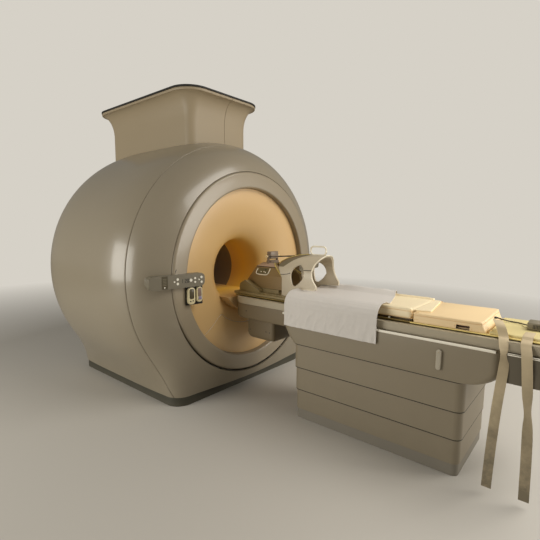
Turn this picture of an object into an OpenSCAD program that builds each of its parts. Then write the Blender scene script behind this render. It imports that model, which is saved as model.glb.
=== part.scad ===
// Closed-bore MRI scanner with its patient table and head coil.
// Frame: millimetres, +Z up, +Y into the bore, +X to the right seen from the table.
// The origin is on the floor under the middle of the magnet base.

/* [Magnet] */
// Radius of the patient bore
bore_r = 300; // [290:1:320]
// Height of the bore axis above the floor
bore_z = 1055; // [1040:1:1070]
// Largest outer radius of the barrel cover
barrel_r = 1220; // [1180:1:1240]
// Half of the length over which the barrel cover closes to a point
barrel_half = 973; // [965:1:1000]
// Distance of the fattest section of the barrel behind the middle of the base
barrel_mid = 50; // [40:1:60]
// Roundness of the barrel's side line, 2 is an ellipse and more is squarer
barrel_power = 4.5; // [4:0.1:5]
// Thickness of the moulded covers
cover_t = 8; // [5:0.5:10]
// Shadow gap between neighbouring covers
seam_gap = 2; // [1:0.5:4]
// Distance of the ring-shaped seam behind the barrel cover's open edge
seam_back = 226; // [200:1:250]

/* [Bore mouth] */
// Radius of the barrel cover's open edge, which the face ring fills
ring_r = 915; // [905:1:925]
// Radius of the disc inside the face ring
disc_r = 767; // [750:1:780]
// Amount that the face ring stands proud of the barrel edge
ring_proud = 15; // [10:1:20]
// Distance of the disc's edge behind the barrel edge
disc_set_back = 40; // [35:1:45]
// Depth of the flare from the disc's edge to the tube
flare_d = 200; // [180:1:220]
// Length of the tube behind the flare
throat_l = 345; // [300:1:400]
// Radius of the bridge apron below the bore
apron_r = 358; // [350:1:370]
// Height of the surface that the tabletop runs on
tray_z = 846; // [844:0.5:848]

/* [Base] */
// Width of the base cover
base_w = 1700; // [1660:1:1740]
// Length of the base cover
base_l = 1620; // [1590:1:1640]
// Radius of the base cover's corners
base_corner = 130; // [100:1:150]
// Height of the skirting strip
skirt_h = 75; // [60:1:90]
// Thickness of the skirting strip
skirt_t = 12; // [8:1:16]

/* [Turret] */
// Half width of the service turret
turret_hw = 370; // [355:1:380]
// Distance of the turret's front wall ahead of the middle
turret_front = 440; // [430:1:450]
// Distance of the turret's rear wall behind the middle
turret_rear = 930; // [900:1:940]
// Radius of the turret's corners
turret_corner = 90; // [70:1:110]
// Reach of the flared lip around the top
lip_reach = 120; // [100:1:130]
// Height over which the lip flares out
lip_h = 220; // [200:1:240]
// Height of the lip's straight edge
lip_edge = 22; // [18:1:30]
// Height of the turret's top edge
turret_z = 2680; // [2660:1:2700]
// Height of the seal strip on the turret
seal_h = 16; // [12:1:20]
// Place of the seam in the turret's front wall to the right of the middle
turret_seam_x = 50; // [20:1:80]

/* [Magnet core] */
// Outer radius of the vacuum vessel
vessel_r = 940; // [920:1:950]
// Inner radius of the vacuum vessel
vessel_bore_r = 460; // [455:1:470]
// Length of the vacuum vessel
vessel_l = 1440; // [1400:1:1450]
// Wall of the vacuum vessel
vessel_t = 12; // [10:1:16]
// Distance between the nested vessels
vessel_step = 45; // [40:1:50]
// Wall of the inner vessels
shield_t = 8; // [6:1:8]
// Radial thickness of a coil winding
winding_t = 60; // [40:1:70]
// Outer radius of the gradient coil
gradient_r = 445; // [435:1:450]
// Radial thickness of the gradient coil
gradient_t = 85; // [75:1:90]
// Length of the gradient coil
gradient_l = 1240; // [1200:1:1260]
// Radius of the body coil
body_coil_r = 326; // [324:1:335]
// Number of rungs of the body coil
rungs = 16; // [12:2:20]

/* [Operator panel] */
// Length of the operator panel
panel_l = 475; // [470:1:480]
// Height of the operator panel
panel_h = 104; // [100:1:108]
// Height of the panel's middle above the bore axis
panel_dz = 5; // [0:1:10]
// Turn of the panel's face towards the table, in degrees
panel_turn = 8; // [7:0.5:9]
// Travel of a panel button
button_travel = 2; // [1:0.5:3]
// Clearance around a panel button
button_gap = 0.5; // [0.4:0.1:1]

/* [Table] */
// Half width of the table's upper cover
table_hw = 323; // [320:1:330]
// Height of the table's shoulder
shoulder_z = 815; // [813:0.5:815]
// Distance that the table can be lowered
lift_travel = 350; // [300:1:350]
// Wall of a telescoping cover
tier_t = 4.4; // [3:0.1:4.6]
// Side clearance between telescoping covers
tier_gap = 0.6; // [0.5:0.1:0.9]
// Height of the seam under the upper cover
tier1_z = 589; // [580:1:595]
// Height of the seam under the second cover
tier2_z = 406; // [400:1:410]
// Height of the seam under the third cover
tier3_z = 231; // [228:1:235]
// Height of the dark strip at the floor
kick_h = 75; // [70:1:80]
// Distance from the middle of the magnet to the table's front wall
table_front = 1560; // [1550:1:1570]
// Distance from the middle of the magnet to the table's rear wall
table_rear = 2800; // [2790:1:2810]
// Distance that the upper cover overhangs at the rear
stern_reach = 178; // [170:1:185]
// Distance that the upper cover overhangs at the front
bow_reach = 100; // [90:1:105]
// Clearance between the docked table and the bridge
dock_gap = 0.5; // [0.3:0.1:0.9]

/* [Tabletop] */
// Half width of the tabletop at its edges
top_hw = 243; // [235:1:244]
// Height of the tabletop's underside
top_z = 855; // [854:0.5:857]
// Height of the tabletop's edges above its underside
top_h = 29; // [26:1:32]
// Thickness of the tabletop
top_t = 10; // [8:1:12]
// Length of the tabletop
top_l = 2320; // [2300:1:2340]
// Travel of the tabletop into the bore
top_travel = 1600; // [1500:10:1700]
// Clearance between the tabletop and its slide strips
slide_gap = 0.3; // [0.2:0.1:0.5]

/* [Coils and soft goods] */
// Half width of the head coil's base
coil_hw = 200; // [190:1:205]
// Half width of the head coil's helmet
helmet_hw = 140; // [135:1:150]
// Radius of the space for the head
head_r = 112; // [108:1:115]
// Radius of the mirror's pin
pin_r = 4; // [3:0.5:5]
// Half width of the shoulder shell
shell_hw = 176; // [170:1:182]
// Thickness of the shoulder shell
shell_t = 14; // [10:1:18]
// Height of the top pad's upper face
pad_z = 958; // [950:1:962]
// Thickness of the draped sheet
sheet_t = 4; // [3:0.5:5]
// Width of a strap
strap_w = 50; // [45:1:55]
// Thickness of a strap
strap_t = 2.5; // [2:0.5:3]

/* [Hidden] */
$fn = 72;

eps = 0.01;
touch = 0.3;
edge_reach = barrel_half * pow(1 - pow(ring_r / barrel_r, barrel_power), 1 / barrel_power);
front_edge = barrel_mid - edge_reach;
rear_y = barrel_mid + edge_reach;
disc_y = front_edge + disc_set_back;
throat_y = disc_y + flare_d;
liner_y = throat_y + throat_l;
seam_y = front_edge + seam_back;
rear_tube_y = rear_y - flare_d;
base_floor = skirt_h;
base_top = 600;
ledge = 14;
table_mid = -(table_front + table_rear) / 2;
tier_step = tier_t + tier_gap;
tier_lap = 30;
frame_z = 822;
frame_hw = 290;
frame_h = 50;
nose_z = 690;
nose_y = -826.5;
apron_y = nose_y + dock_gap;
frame_end = -table_rear - stern_reach - 167;
top_front = -830;
top_end = top_front - top_l;
lever_pin = [-(table_hw + 3), -2650, 752];
mirror_pin = [0, -1100, 1215];
panel_origin = [-ring_r - 200, front_edge - 9, bore_z + panel_dz];

barrel_n = 42;
barrel_end = asin(pow((barrel_mid - front_edge) / barrel_half, barrel_power / 2));

// Radius and slope of the barrel's side line at the angle t of its rounded curve
function barrel_u(t) = sign(t) * pow(sin(abs(t)), 2 / barrel_power);
function barrel_r_at(t) = barrel_r * pow(cos(t), 2 / barrel_power);
function barrel_slope(t) = -sign(t) * barrel_r / barrel_half * pow(abs(barrel_u(t)), barrel_power - 1)
    * pow(cos(t), 2 / barrel_power - 2);
// Points of the barrel's side line from front to rear, drawn in square to the surface by a depth
function barrel_line(depth) = [for (i = [0:barrel_n])
    let (t = barrel_end * (2 * i / barrel_n - 1), k = depth / sqrt(1 + pow(barrel_slope(t), 2)))
        [barrel_r_at(t) - k, barrel_mid + barrel_half * barrel_u(t) + k * barrel_slope(t)]];
function reverse(list) = [for (i = [len(list) - 1:-1:0]) list[i]];
// Points of a flare that opens from radius r0 at the tube to radius r1 over the depth d
function flare_line(r0, r1, y, d, n) = [for (i = [0:n]) let (a = 90 * i / n) [r1 - (r1 - r0) * sin(a), y - d * cos(a)]];
// Points of an arc in a plane
function arc_line(c, r, a0, a1, n) = [for (i = [0:n]) let (a = a0 + (a1 - a0) * i / n) c + r * [cos(a), sin(a)]];

// Turns a radius and distance drawing about the bore axis
module about_bore(fn = 96) {
    translate([0, 0, bore_z]) rotate([-90, 0, 0]) rotate_extrude($fn = fn) children();
}

// A drawing in X and Z, made solid between two places along the bore
module along_bore(y0, y1) {
    translate([0, y1, 0]) rotate([90, 0, 0]) linear_extrude(y1 - y0) children();
}

// A drawing in Y and Z, made solid between two places across the machine
module across(x0, x1) {
    translate([x0, 0, 0]) rotate([90, 0, 90]) linear_extrude(x1 - x0) children();
}

module rounded_rect(w, l, r) {
    square([w - 2 * r, l], center = true);
    square([w, l - 2 * r], center = true);
    for (x = [-1, 1], y = [-1, 1]) translate([x * (w / 2 - r), y * (l / 2 - r)]) circle(r, $fn = 48);
}

module tube(r_out, r_in, y0, y1) {
    about_bore() translate([r_in, y0]) square([r_out - r_in, y1 - y0]);
}

// A closed ring-shaped vessel with walls of thickness t
module ring_vessel(r_out, r_in, y0, y1, t) {
    about_bore() difference() {
        translate([r_in, y0]) square([r_out - r_in, y1 - y0]);
        translate([r_in + t, y0 + t]) square([r_out - r_in - 2 * t, y1 - y0 - 2 * t]);
    }
}

// Magnet core

vessel_y0 = -vessel_l / 2 + barrel_mid;
vessel_y1 = vessel_l / 2 + barrel_mid;
neck_x = -110;
neck_y = 60;
neck_r = 110;
cold_x = 150;
cold_y = 330;
cold_r = 95;

module neck_bore(x, y, r) {
    translate([x, y, bore_z + vessel_r - vessel_t - 80]) cylinder(r = r, h = 400);
}

module vacuum_vessel() color("#b9bcb8") difference() {
    union() {
        ring_vessel(vessel_r, vessel_bore_r, vessel_y0, vessel_y1, vessel_t);
        for (p = [[neck_x, neck_y, neck_r], [cold_x, cold_y, cold_r]])
            translate([p[0], p[1], bore_z + vessel_r - 60]) cylinder(r = p[2] + 12, h = 180);
    }
    neck_bore(neck_x, neck_y, neck_r);
    neck_bore(cold_x, cold_y, cold_r);
    about_bore() translate([vessel_bore_r + vessel_t, vessel_y0 + vessel_t])
        square([vessel_r - vessel_bore_r - 2 * vessel_t, vessel_l - 2 * vessel_t]);
}

module thermal_shield() color("#cfd3d4") {
    ring_vessel(vessel_r - vessel_step, vessel_bore_r + vessel_step - 5,
        vessel_y0 + vessel_step, vessel_y1 - vessel_step, shield_t);
    for (y = [vessel_y0 + 300, vessel_y1 - 300], a = [45:90:315])
        translate([0, y, bore_z]) rotate([0, a, 0]) translate([0, 0, vessel_r - 2 * vessel_step + touch])
            cylinder(r = 15, h = 2 * vessel_step - vessel_t - 2 * touch);
}

module helium_vessel() color("#a9adb0")
    ring_vessel(vessel_r - 2 * vessel_step, vessel_bore_r + 2 * vessel_step - 10,
        vessel_y0 + 2 * vessel_step, vessel_y1 - 2 * vessel_step, shield_t);

winding_r = vessel_bore_r + 2 * vessel_step - 10 + shield_t;

module main_coils() color("#b5713c")
    for (c = [[90, 130], [290, 100], [480, 90]], s = [-1, 1])
        translate([0, barrel_mid + s * c[0], 0])
            tube(winding_r + winding_t, winding_r, -c[1] / 2, c[1] / 2);

module cold_head() color("#8f9294") translate([cold_x, cold_y, 0]) {
    translate([0, 0, bore_z + vessel_r + 120]) cylinder(r = cold_r + 12, h = 30);
    translate([0, 0, bore_z + vessel_r + 150]) cylinder(r = 60, h = 170);
    translate([-70, -50, bore_z + vessel_r + 320]) cube([140, 100, 90]);
}

module quench_pipe() color("#9b9ea0") translate([neck_x, neck_y, 0]) difference() {
    union() {
        translate([0, 0, bore_z + vessel_r + 120]) cylinder(r = neck_r + 12, h = 20);
        translate([0, 0, bore_z + vessel_r + 140]) cylinder(r = 70, h = turret_z - bore_z - vessel_r - 140);
    }
    translate([0, 0, bore_z + vessel_r + 110]) cylinder(r = 64, h = turret_z);
}

module gradient_coil() color("#c9b98d") difference() {
    tube(gradient_r, gradient_r - gradient_t, barrel_mid - gradient_l / 2, barrel_mid + gradient_l / 2);
    translate([0, barrel_mid - gradient_l / 2 - 1, bore_z]) rotate([-90, 0, 0])
        for (i = [0:11]) rotate(i * 30 + 15) translate([gradient_r - 25, 0, 0]) cylinder(r = 12, h = 60);
}

module body_coil() color("#c98d4b") {
    tube(body_coil_r + 4, bore_r + cover_t + touch, barrel_mid - 260, barrel_mid - 215);
    tube(body_coil_r + 4, bore_r + cover_t + touch, barrel_mid + 215, barrel_mid + 260);
    translate([0, barrel_mid - 216, bore_z]) rotate([-90, 0, 0])
        for (i = [0:rungs - 1]) rotate(i * 360 / rungs)
            translate([body_coil_r + 0.6, -12, 0]) cube([2.8, 24, 432]);
}

// Bore and covers

module bore_liner() color("#8d8578") union() {
    tube(bore_r + cover_t, bore_r, liner_y, rear_tube_y);
    for (y = [liner_y + 20, rear_tube_y - 420])
        tube(gradient_r - gradient_t, bore_r + cover_t - 1, y, y + 10);
}

module flare_solid() {
    about_bore() polygon(concat(
        flare_line(bore_r, disc_r - seam_gap, throat_y, flare_d, 16),
        [[bore_r, liner_y], [bore_r + cover_t, liner_y]],
        reverse(flare_line(bore_r + cover_t, disc_r - seam_gap, throat_y + cover_t, flare_d, 16))
    ));
}

// Outline of the removable panel under the bore: a U between two rounded shoulders
module access_outline(gap) {
    reach = disc_r + 60;
    difference() {
        polygon([
            [-reach, 0], [-reach, 360], [-568 - gap, 548 + gap], [-448, 623 + gap], [-372, 676 + gap],
            [-329, 692 + gap], [-286, 676 + gap], [286, 676 + gap], [329, 692 + gap], [372, 676 + gap],
            [448, 623 + gap], [568 + gap, 548 + gap], [reach, 360], [reach, 0]
        ]);
        translate([0, bore_z]) circle(apron_r + 126 - gap);
    }
}

module front_flare() color("#dcc69c") difference() {
    flare_solid();
    along_bore(front_edge - 50, throat_y) access_outline(seam_gap / 2);
    along_bore(front_edge - 50, throat_y) bridge_outline(apron_r + 0.2);
}

module lower_access_panel() color("#d3be97") intersection() {
    flare_solid();
    along_bore(front_edge - 50, throat_y) access_outline(-seam_gap / 2);
}

// Segment of a circle under the bridge's top
module bridge_outline(r) {
    intersection() {
        translate([0, bore_z]) circle(r);
        translate([-r, 0]) square([2 * r, tray_z]);
    }
}

module bore_bridge() color("#d9cdb4") difference() {
    union() {
        along_bore(apron_y, throat_y) bridge_outline(apron_r);
        along_bore(throat_y - eps, rear_tube_y) bridge_outline(bore_r - 0.2);
    }
    along_bore(apron_y + cover_t, throat_y - cover_t) intersection() {
        bridge_outline(apron_r - cover_t);
        translate([-apron_r, 0]) square([2 * apron_r, tray_z - cover_t]);
    }
    along_bore(throat_y + 1, rear_tube_y + 1) intersection() {
        bridge_outline(bore_r - 6);
        translate([-bore_r, 0]) square([2 * bore_r, tray_z - cover_t]);
    }
}

// The flange that carries the barrel cover's open edge, as points from its inner corner outwards
function flange_line() = let (under = barrel_line(cover_t + touch), back = barrel_line(cover_t + lap_t))
    [[back[2][0], back[2][1] + 1], under[2], under[1]];

module face_ring() color("#c3bfb4") difference() {
    about_bore() polygon(concat(
        flange_line(),
        [[ring_r - seam_gap - 4, front_edge + 10], [ring_r - seam_gap, front_edge]],
        arc_line([ring_r - 25, front_edge + 25 - ring_proud], 25, 335, 270, 4),
        arc_line([disc_r + 20, front_edge + 20 - ring_proud], 20, 270, 180, 5),
        [[disc_r, disc_y + cover_t + touch], [disc_r - ledge, disc_y + cover_t + touch],
            [disc_r - ledge, disc_y + cover_t + 7], [disc_r + cover_t, disc_y + cover_t + 7],
            [disc_r + cover_t, front_edge + 10], [ring_r - 30, front_edge + 10], [ring_r - 30, flange_line()[0][1]]]
    ));
    panel_space(button_gap);
    mirror([1, 0, 0]) panel_space(button_gap);
}

module base_prism(depth, z0) {
    translate([0, 0, z0]) linear_extrude(base_top - z0)
        rounded_rect(base_w - 2 * depth, base_l - 2 * depth, base_corner - depth);
}

// The barrel filled down to its axis, drawn in by a depth
module barrel_solid(depth) {
    points = barrel_line(depth);
    about_bore() polygon(concat([[0, points[0][1]]], points, [[0, points[barrel_n][1]]]));
}

// The shell between two depths, between two places along the bore
module barrel_shell(d0, d1, y0, y1) {
    intersection() {
        polygon(concat(barrel_line(d0), reverse(barrel_line(d1))));
        translate([0, y0]) square([2 * barrel_r, y1 - y0]);
    }
}

// Everything under the lower edge of the covers
module below_covers() {
    translate([-2000, -2000, -2000]) cube([4000, 4000, 2000 + base_floor]);
}

lap = 16;
lap_t = 5;

module front_shell() color("#b4afa4") difference() {
    about_bore() {
        barrel_shell(0, cover_t, -barrel_r, seam_y - seam_gap / 2);
        barrel_shell(cover_t - 1, cover_t + lap_t, seam_y - 1.5 * lap, seam_y - seam_gap / 2);
        barrel_shell(cover_t + touch, cover_t + lap_t, seam_y - seam_gap / 2 - eps, seam_y + lap);
    }
    base_prism(-seam_gap, -eps);
    below_covers();
    panel_space(button_gap);
    mirror([1, 0, 0]) panel_space(button_gap);
}

module body_shell() color("#b1aca1") difference() {
    union() {
        about_bore() barrel_shell(0, cover_t, seam_y + seam_gap / 2, barrel_r);
        difference() {
            base_prism(0, base_floor);
            barrel_solid(cover_t);
        }
    }
    base_prism(cover_t, -eps);
    below_covers();
    turret_space(cover_t + 30);
}

module turret_space(inset) {
    translate([0, (turret_rear - turret_front) / 2, bore_z + 900]) linear_extrude(600)
        rounded_rect(2 * turret_hw - 2 * inset, turret_rear + turret_front - 2 * inset - 60, 40);
}

module rear_cover() color("#b4afa4")
    about_bore() polygon(concat(
        [for (p = flange_line()) [p[0], 2 * barrel_mid - p[1]]],
        [[ring_r - seam_gap - 4, rear_y - 10], [ring_r - seam_gap, rear_y], [ring_r - 25, rear_y + 12],
            [disc_r + 20, rear_y + 12]],
        [for (p = flare_line(bore_r, disc_r, 0, flare_d, 12)) [p[0], rear_tube_y - p[1]]],
        [[bore_r + cover_t, rear_tube_y]],
        reverse([for (p = flare_line(bore_r + cover_t, disc_r, 0, flare_d, 12)) if (p[0] > bore_r + cover_t + 8)
            [p[0], rear_tube_y - p[1] - cover_t]]),
        [[ring_r - 30, rear_y - 5], [ring_r - 30, 2 * barrel_mid - flange_line()[0][1]]]
    ));

module skirting() color("#4d4b40") translate([0, 0, 0]) linear_extrude(skirt_h) difference() {
    rounded_rect(base_w, base_l, base_corner);
    rounded_rect(base_w - 2 * skirt_t, base_l - 2 * skirt_t, base_corner - skirt_t);
}

frame_reach = 620;
foot_h = 20;
rail_w = 120;
beam_w = 70;
beam_y = [barrel_mid - 480, barrel_mid + 400];

module base_frame() color("#6d6f6d") difference() {
    union() {
        for (y = beam_y) {
            translate([-frame_reach, y, foot_h]) cube([2 * frame_reach, beam_w, 380]);
            translate([-base_w / 2 + cover_t + touch, y, base_floor + 5])
                cube([base_w - 2 * cover_t - 2 * touch, beam_w, 40]);
        }
        for (x = [-frame_reach, frame_reach - rail_w])
            translate([x, barrel_mid - frame_reach + 20, foot_h]) cube([rail_w, 2 * frame_reach - 40, 90]);
        translate([10 + rail_w - frame_reach - 20, -rail_w / 2, 0]) cube([2 * frame_reach - 2 * rail_w + 20, rail_w, 90]);
        for (x = [-1, 1], y = [-1, 1]) translate([x * (frame_reach - 60), barrel_mid + y * (frame_reach - 60), 0])
            cylinder(r = 55, h = foot_h);
    }
    translate([0, -1000, bore_z]) rotate([-90, 0, 0]) cylinder(r = vessel_r + touch, h = 2000, $fn = 96);
}

// Turret

// Side line of the turret's wall as offsets from its plan, inner wall included
function lip_line(depth) = concat(
    [[-depth, bore_z + 820], [-depth, turret_z - lip_edge - lip_h]],
    [for (i = [1:9]) let (a = 90 * i / 10)
        [lip_reach * (1 - cos(a)) - depth * cos(a), turret_z - lip_edge - lip_h + lip_h * sin(a) + depth * sin(a)]],
    [[lip_reach, turret_z - lip_edge], [lip_reach, turret_z]]
);

module turret_wall(x0, x1) {
    w = turret_hw - turret_corner;
    f = -turret_front + turret_corner;
    r = turret_rear - turret_corner;
    wall = concat(lip_line(0), [[lip_reach - cover_t, turret_z]], reverse([for (p = lip_line(cover_t)) if (p[1] < turret_z - lip_edge - 4) p]));
    difference() {
        union() {
            for (c = [[w, r, 0], [-w, r, 90], [-w, f, 180], [w, f, 270]])
                translate([c[0], c[1], 0]) rotate([0, 0, c[2]]) rotate_extrude(angle = 90, $fn = 72)
                    translate([turret_corner, 0]) polygon(wall);
            for (s = [0, 1]) mirror([s, 0, 0])
                translate([w, r, 0]) rotate([90, 0, 0]) linear_extrude(r - f)
                    translate([turret_corner, 0]) polygon(wall);
            for (e = [[r, 0], [-f, 1]]) mirror([0, e[1], 0])
                translate([-w, e[0], 0]) rotate([90, 0, 90]) linear_extrude(2 * w)
                    translate([turret_corner, 0]) polygon(wall);
        }
        barrel_solid(-touch);
        translate([x0 < 0 ? x1 : x0 - 2000, -1200, 1700]) cube([2000, 2600, 1200]);
    }
}

module turret_left() color("#cbc6b8") turret_wall(-1000, turret_seam_x - seam_gap / 2);

module turret_right() color("#cbc6b8") turret_wall(turret_seam_x + seam_gap / 2, 1000);

module turret_seal() color("#23221f") translate([0, (turret_rear - turret_front) / 2, turret_z])
    linear_extrude(seal_h) difference() {
        rounded_rect(2 * (turret_hw + lip_reach) + 6, turret_rear + turret_front + 2 * lip_reach + 6,
            turret_corner + lip_reach);
        rounded_rect(2 * (turret_hw + lip_reach) - 40, turret_rear + turret_front + 2 * lip_reach - 40,
            turret_corner + lip_reach - 23);
    }

// Operator panels: local X runs along the panel, local Y up and local Z out of its face

module at_panel() {
    translate(panel_origin) rotate([0, 0, -panel_turn]) rotate([90, 0, 0]) children();
}

// The panel's case: a slab, with a deeper box behind the half that crosses the barrel's shoulder
module panel_block(grow) {
    translate([panel_l / 2, 0, -panel_d - grow]) linear_extrude(panel_d + grow)
        rounded_rect(panel_l + 2 * grow, panel_h + 2 * grow, 38 + grow);
    translate([120, 0, -120 - grow]) linear_extrude(90)
        rounded_rect(200 + 2 * grow, panel_h - 14 + 2 * grow, 30 + grow);
}

module panel_space(grow) {
    at_panel() panel_block(grow);
}

// Places and radii of the buttons along the panel
buttons = [
    [206, 0, 6.5], [233, 17, 10], [233, -17, 10], [348, 2, 12], [385, 15, 8.5], [385, -15, 8.5],
    [421, 2, 6], [443, 19, 9.5], [443, -19, 9.5]
];
button_depth = 8;
button_proud = 3;
panel_d = 54;

module panel_body() {
    difference() {
        panel_block(0);
        for (b = buttons) translate([b[0], b[1], -button_depth]) cylinder(r = b[2] + button_gap, h = button_depth + 1);
        translate([102, -48, -3]) cube([50, 96, 4]);
        translate([292, -19, -3]) cube([42, 38, 4]);
    }
    translate([104, -46, -3]) cube([46, 92, 2.2]);
    translate([294, -17, -3]) cube([38, 34, 2.2]);
}

module operator_panel_left() color("#c9c6bc") at_panel() panel_body();

module button(i) color("#f2efe6") at_panel()
    translate([buttons[i][0], buttons[i][1], -button_depth + button_travel + button_gap])
        cylinder(r = buttons[i][2], h = button_depth - button_travel - button_gap + button_proud);

module button_1() button(0);
module button_2() button(1);
module button_3() button(2);
module button_4() button(3);
module button_5() button(4);
module button_6() button(5);
module button_7() button(6);
module button_8() button(7);
module button_9() button(8);

module operator_panel_right() color("#c9c6bc") mirror([1, 0, 0]) at_panel() {
    panel_body();
    for (b = buttons) translate([b[0], b[1], -button_depth - eps]) cylinder(r = b[2], h = button_depth + button_proud);
}

holder_d = 38;

module handset_holder() color("#2b2a27")
    at_panel() translate([318, -panel_h / 2 - 148, -holder_d]) cube([150, 148, 12]);

// One handset: a plate with round ends
module handset(x, w, h) {
    at_panel() translate([x, -panel_h / 2 - 6 - h / 2, -26]) linear_extrude(24) rounded_rect(w, h, w * 0.45);
}

module handsets() color("#e4dcc0") {
    handset(355, 66, 136);
    handset(427, 54, 122);
}

// Table

function tier_hw(k) = table_hw - k * tier_step;
function tier_front(k) = -table_front - 10 * k;
function tier_rear(k) = -table_rear + tier_step * k;

// Plan of the telescoping cover number k, drawn in by a depth
module tier_plan(k, depth) {
    translate([0, (tier_front(k) + tier_rear(k)) / 2])
        rounded_rect(2 * (tier_hw(k) - depth), tier_front(k) - tier_rear(k) - 2 * depth, 60 - k * tier_step - depth);
}

module tier_shell(k, z0, z1) {
    translate([0, 0, z0]) linear_extrude(z1 - z0) difference() {
        tier_plan(k, 0);
        tier_plan(k, tier_t);
    }
}

kick_in = 6;
kick_t = 8;

module table_plate() color("#6b6c69") linear_extrude(18) tier_plan(3, kick_in + kick_t + 4);

module kick_strip() color("#4c4b43") linear_extrude(kick_h) difference() {
    tier_plan(3, kick_in);
    tier_plan(3, kick_in + kick_t);
}

module cover_lower() color("#85817a") {
    tier_shell(3, kick_h, tier3_z + tier_lap);
    translate([0, 0, kick_h]) linear_extrude(6) difference() {
        tier_plan(3, 1);
        tier_plan(3, kick_in + kick_t);
    }
}

module cover_third() color("#87837c") tier_shell(2, tier3_z, tier2_z + tier_lap);

module cover_second() color("#89857e") tier_shell(1, tier2_z, tier1_z + tier_lap);

// Side view of the upper cover, drawn in by a depth
module upper_profile(d) {
    polygon([
        [-table_front - d, tier1_z - (d > 0 ? 1 : 0)], [-table_front + 0.45 * bow_reach - d, tier1_z + 46],
        [-table_front + 0.85 * bow_reach - d, tier1_z + 100], [-table_front + bow_reach - d, tier1_z + 155],
        [-table_front + bow_reach - d, shoulder_z - d], [-table_rear - stern_reach + d, shoulder_z - d],
        [-table_rear - stern_reach + d, tier1_z + 128], [-table_rear - stern_reach + 25 + d, tier1_z + 82],
        [-table_rear - stern_reach + 70 + d, tier1_z + 24 + d], [-table_rear - 40 + d, tier1_z + 12 + d],
        [-table_rear + d, tier1_z - (d > 0 ? 1 : 0)]
    ]);
}

module upper_section(d) {
    translate([0, shoulder_z - 200 - d / 2]) rounded_rect(2 * (table_hw - d), 400 - d, 14);
}

module upper_solid(d) {
    front = -table_front + bow_reach;
    rear = -table_rear - stern_reach;
    intersection() {
        across(-table_hw, table_hw) upper_profile(d);
        along_bore(rear - 10, front + 10) upper_section(d);
        translate([0, (front + rear) / 2, tier1_z - 10]) linear_extrude(400)
            rounded_rect(2 * (table_hw - d), front - rear - 2 * d, 60 - d);
    }
}

module cover_upper() color("#7f7b75") difference() {
    upper_solid(0);
    upper_solid(tier_t);
    translate(lever_pin) rotate([0, 90, 0]) cylinder(r = 5.05, h = 40, $fn = 32);
}

lift_y = [table_mid + 300, table_mid - 300];

module square_tube(w, t, z0, z1) {
    for (y = lift_y) translate([0, y, z0]) linear_extrude(z1 - z0) difference() {
        rounded_rect(w, w, 12);
        rounded_rect(w - 2 * t, w - 2 * t, 8);
    }
}

module lift_outer() color("#7a7c7c") square_tube(200, 8, 18, 420);

module lift_middle() color("#8d9090") square_tube(183.2, 8, 212, 602);

module lift_inner() color("#a3a6a6") {
    square_tube(166.4, 8, 392, 790);
    for (y = lift_y) translate([-130, y - 130, 790]) cube([260, 260, shoulder_z - tier_t - 790]);
}

// Plan of the docked end of the table, carried back to a given place
module nose_plan(hw, front, back) {
    polygon([
        [-hw, back], [-hw, -1040], [-hw + 22, -960], [-hw + 72, -875], [-hw + 140, front - 9],
        [-hw + 190, front], [hw - 190, front], [hw - 140, front - 9], [hw - 72, -875], [hw - 22, -960], [hw, -1040],
        [hw, back]
    ]);
}

module table_frame() color("#8f8c86") difference() {
    translate([0, 0, shoulder_z]) linear_extrude(frame_z + frame_h - shoulder_z)
        nose_plan(frame_hw, nose_y, frame_end);
    along_bore(frame_end - 1, nose_y + 1) polygon([
        [-top_hw - 10, frame_z + frame_h + 1], [-top_hw - 10, frame_z + frame_h - 6], [-top_hw + 35, tray_z],
        [top_hw - 35, tray_z], [top_hw + 10, frame_z + frame_h - 6], [top_hw + 10, frame_z + frame_h + 1]
    ]);
    translate([-60, table_mid - 500, shoulder_z - 1]) cube([120, 900, tray_z - shoulder_z - 6]);
}

nose_back = -table_front + bow_reach + touch;
nose_t = 8;

module table_nose() color("#8b8984") difference() {
    translate([0, 0, nose_z]) linear_extrude(shoulder_z - nose_z) nose_plan(frame_hw - 5, nose_y, nose_back);
    translate([0, 0, nose_z + nose_t]) linear_extrude(shoulder_z - nose_z - 2 * nose_t)
        nose_plan(frame_hw - 5 - nose_t, nose_y - nose_t, nose_back + nose_t);
}

dock_z = 512;
dock_front = -990;
dock_rear = -1292;

module docking_box() color("#807f7c") difference() {
    translate([0, (dock_front + dock_rear) / 2, dock_z]) linear_extrude(nose_z - dock_z)
        rounded_rect(440, dock_front - dock_rear, 30);
    translate([0, (dock_front + dock_rear) / 2, dock_z + 8]) linear_extrude(400)
        rounded_rect(424, dock_front - dock_rear - 16, 22);
    across(-250, 250) polygon([[dock_front + 1, dock_z - 1], [dock_front + 1, dock_z + 60], [dock_front - 60, dock_z - 1]]);
}

foot_y = -table_rear - stern_reach - 6;

module foot_end_cover() color("#83807a") intersection() {
    translate([-table_hw + 3, frame_end - 5, 640]) cube([2 * table_hw - 6, foot_y - frame_end + 5, shoulder_z - 640]);
    across(-table_hw, table_hw) difference() {
        polygon([[frame_end - 5, shoulder_z], [foot_y, shoulder_z], [foot_y, shoulder_z - 30], [foot_y - 14, 740], [foot_y - 8, 652],
            [frame_end - 5, 652]]);
        polygon([[frame_end + 3, shoulder_z - 8], [foot_y - 22, shoulder_z - 8], [foot_y - 24, 740], [foot_y - 18, 651],
            [frame_end + 3, 651]]);
    }
}

module table_drive() color("#55585a") {
    translate([-55, table_mid + 60, shoulder_z + 0.2]) cube([110, 140, 20]);
    for (y = [table_mid - 480, table_mid + 380]) translate([-30, y, shoulder_z + 10]) rotate([0, 90, 0]) cylinder(r = 9, h = 60);
    for (z = [shoulder_z + 0.4, shoulder_z + 17.6]) translate([-12, table_mid - 480, z]) cube([24, 860, 2]);
}

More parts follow.
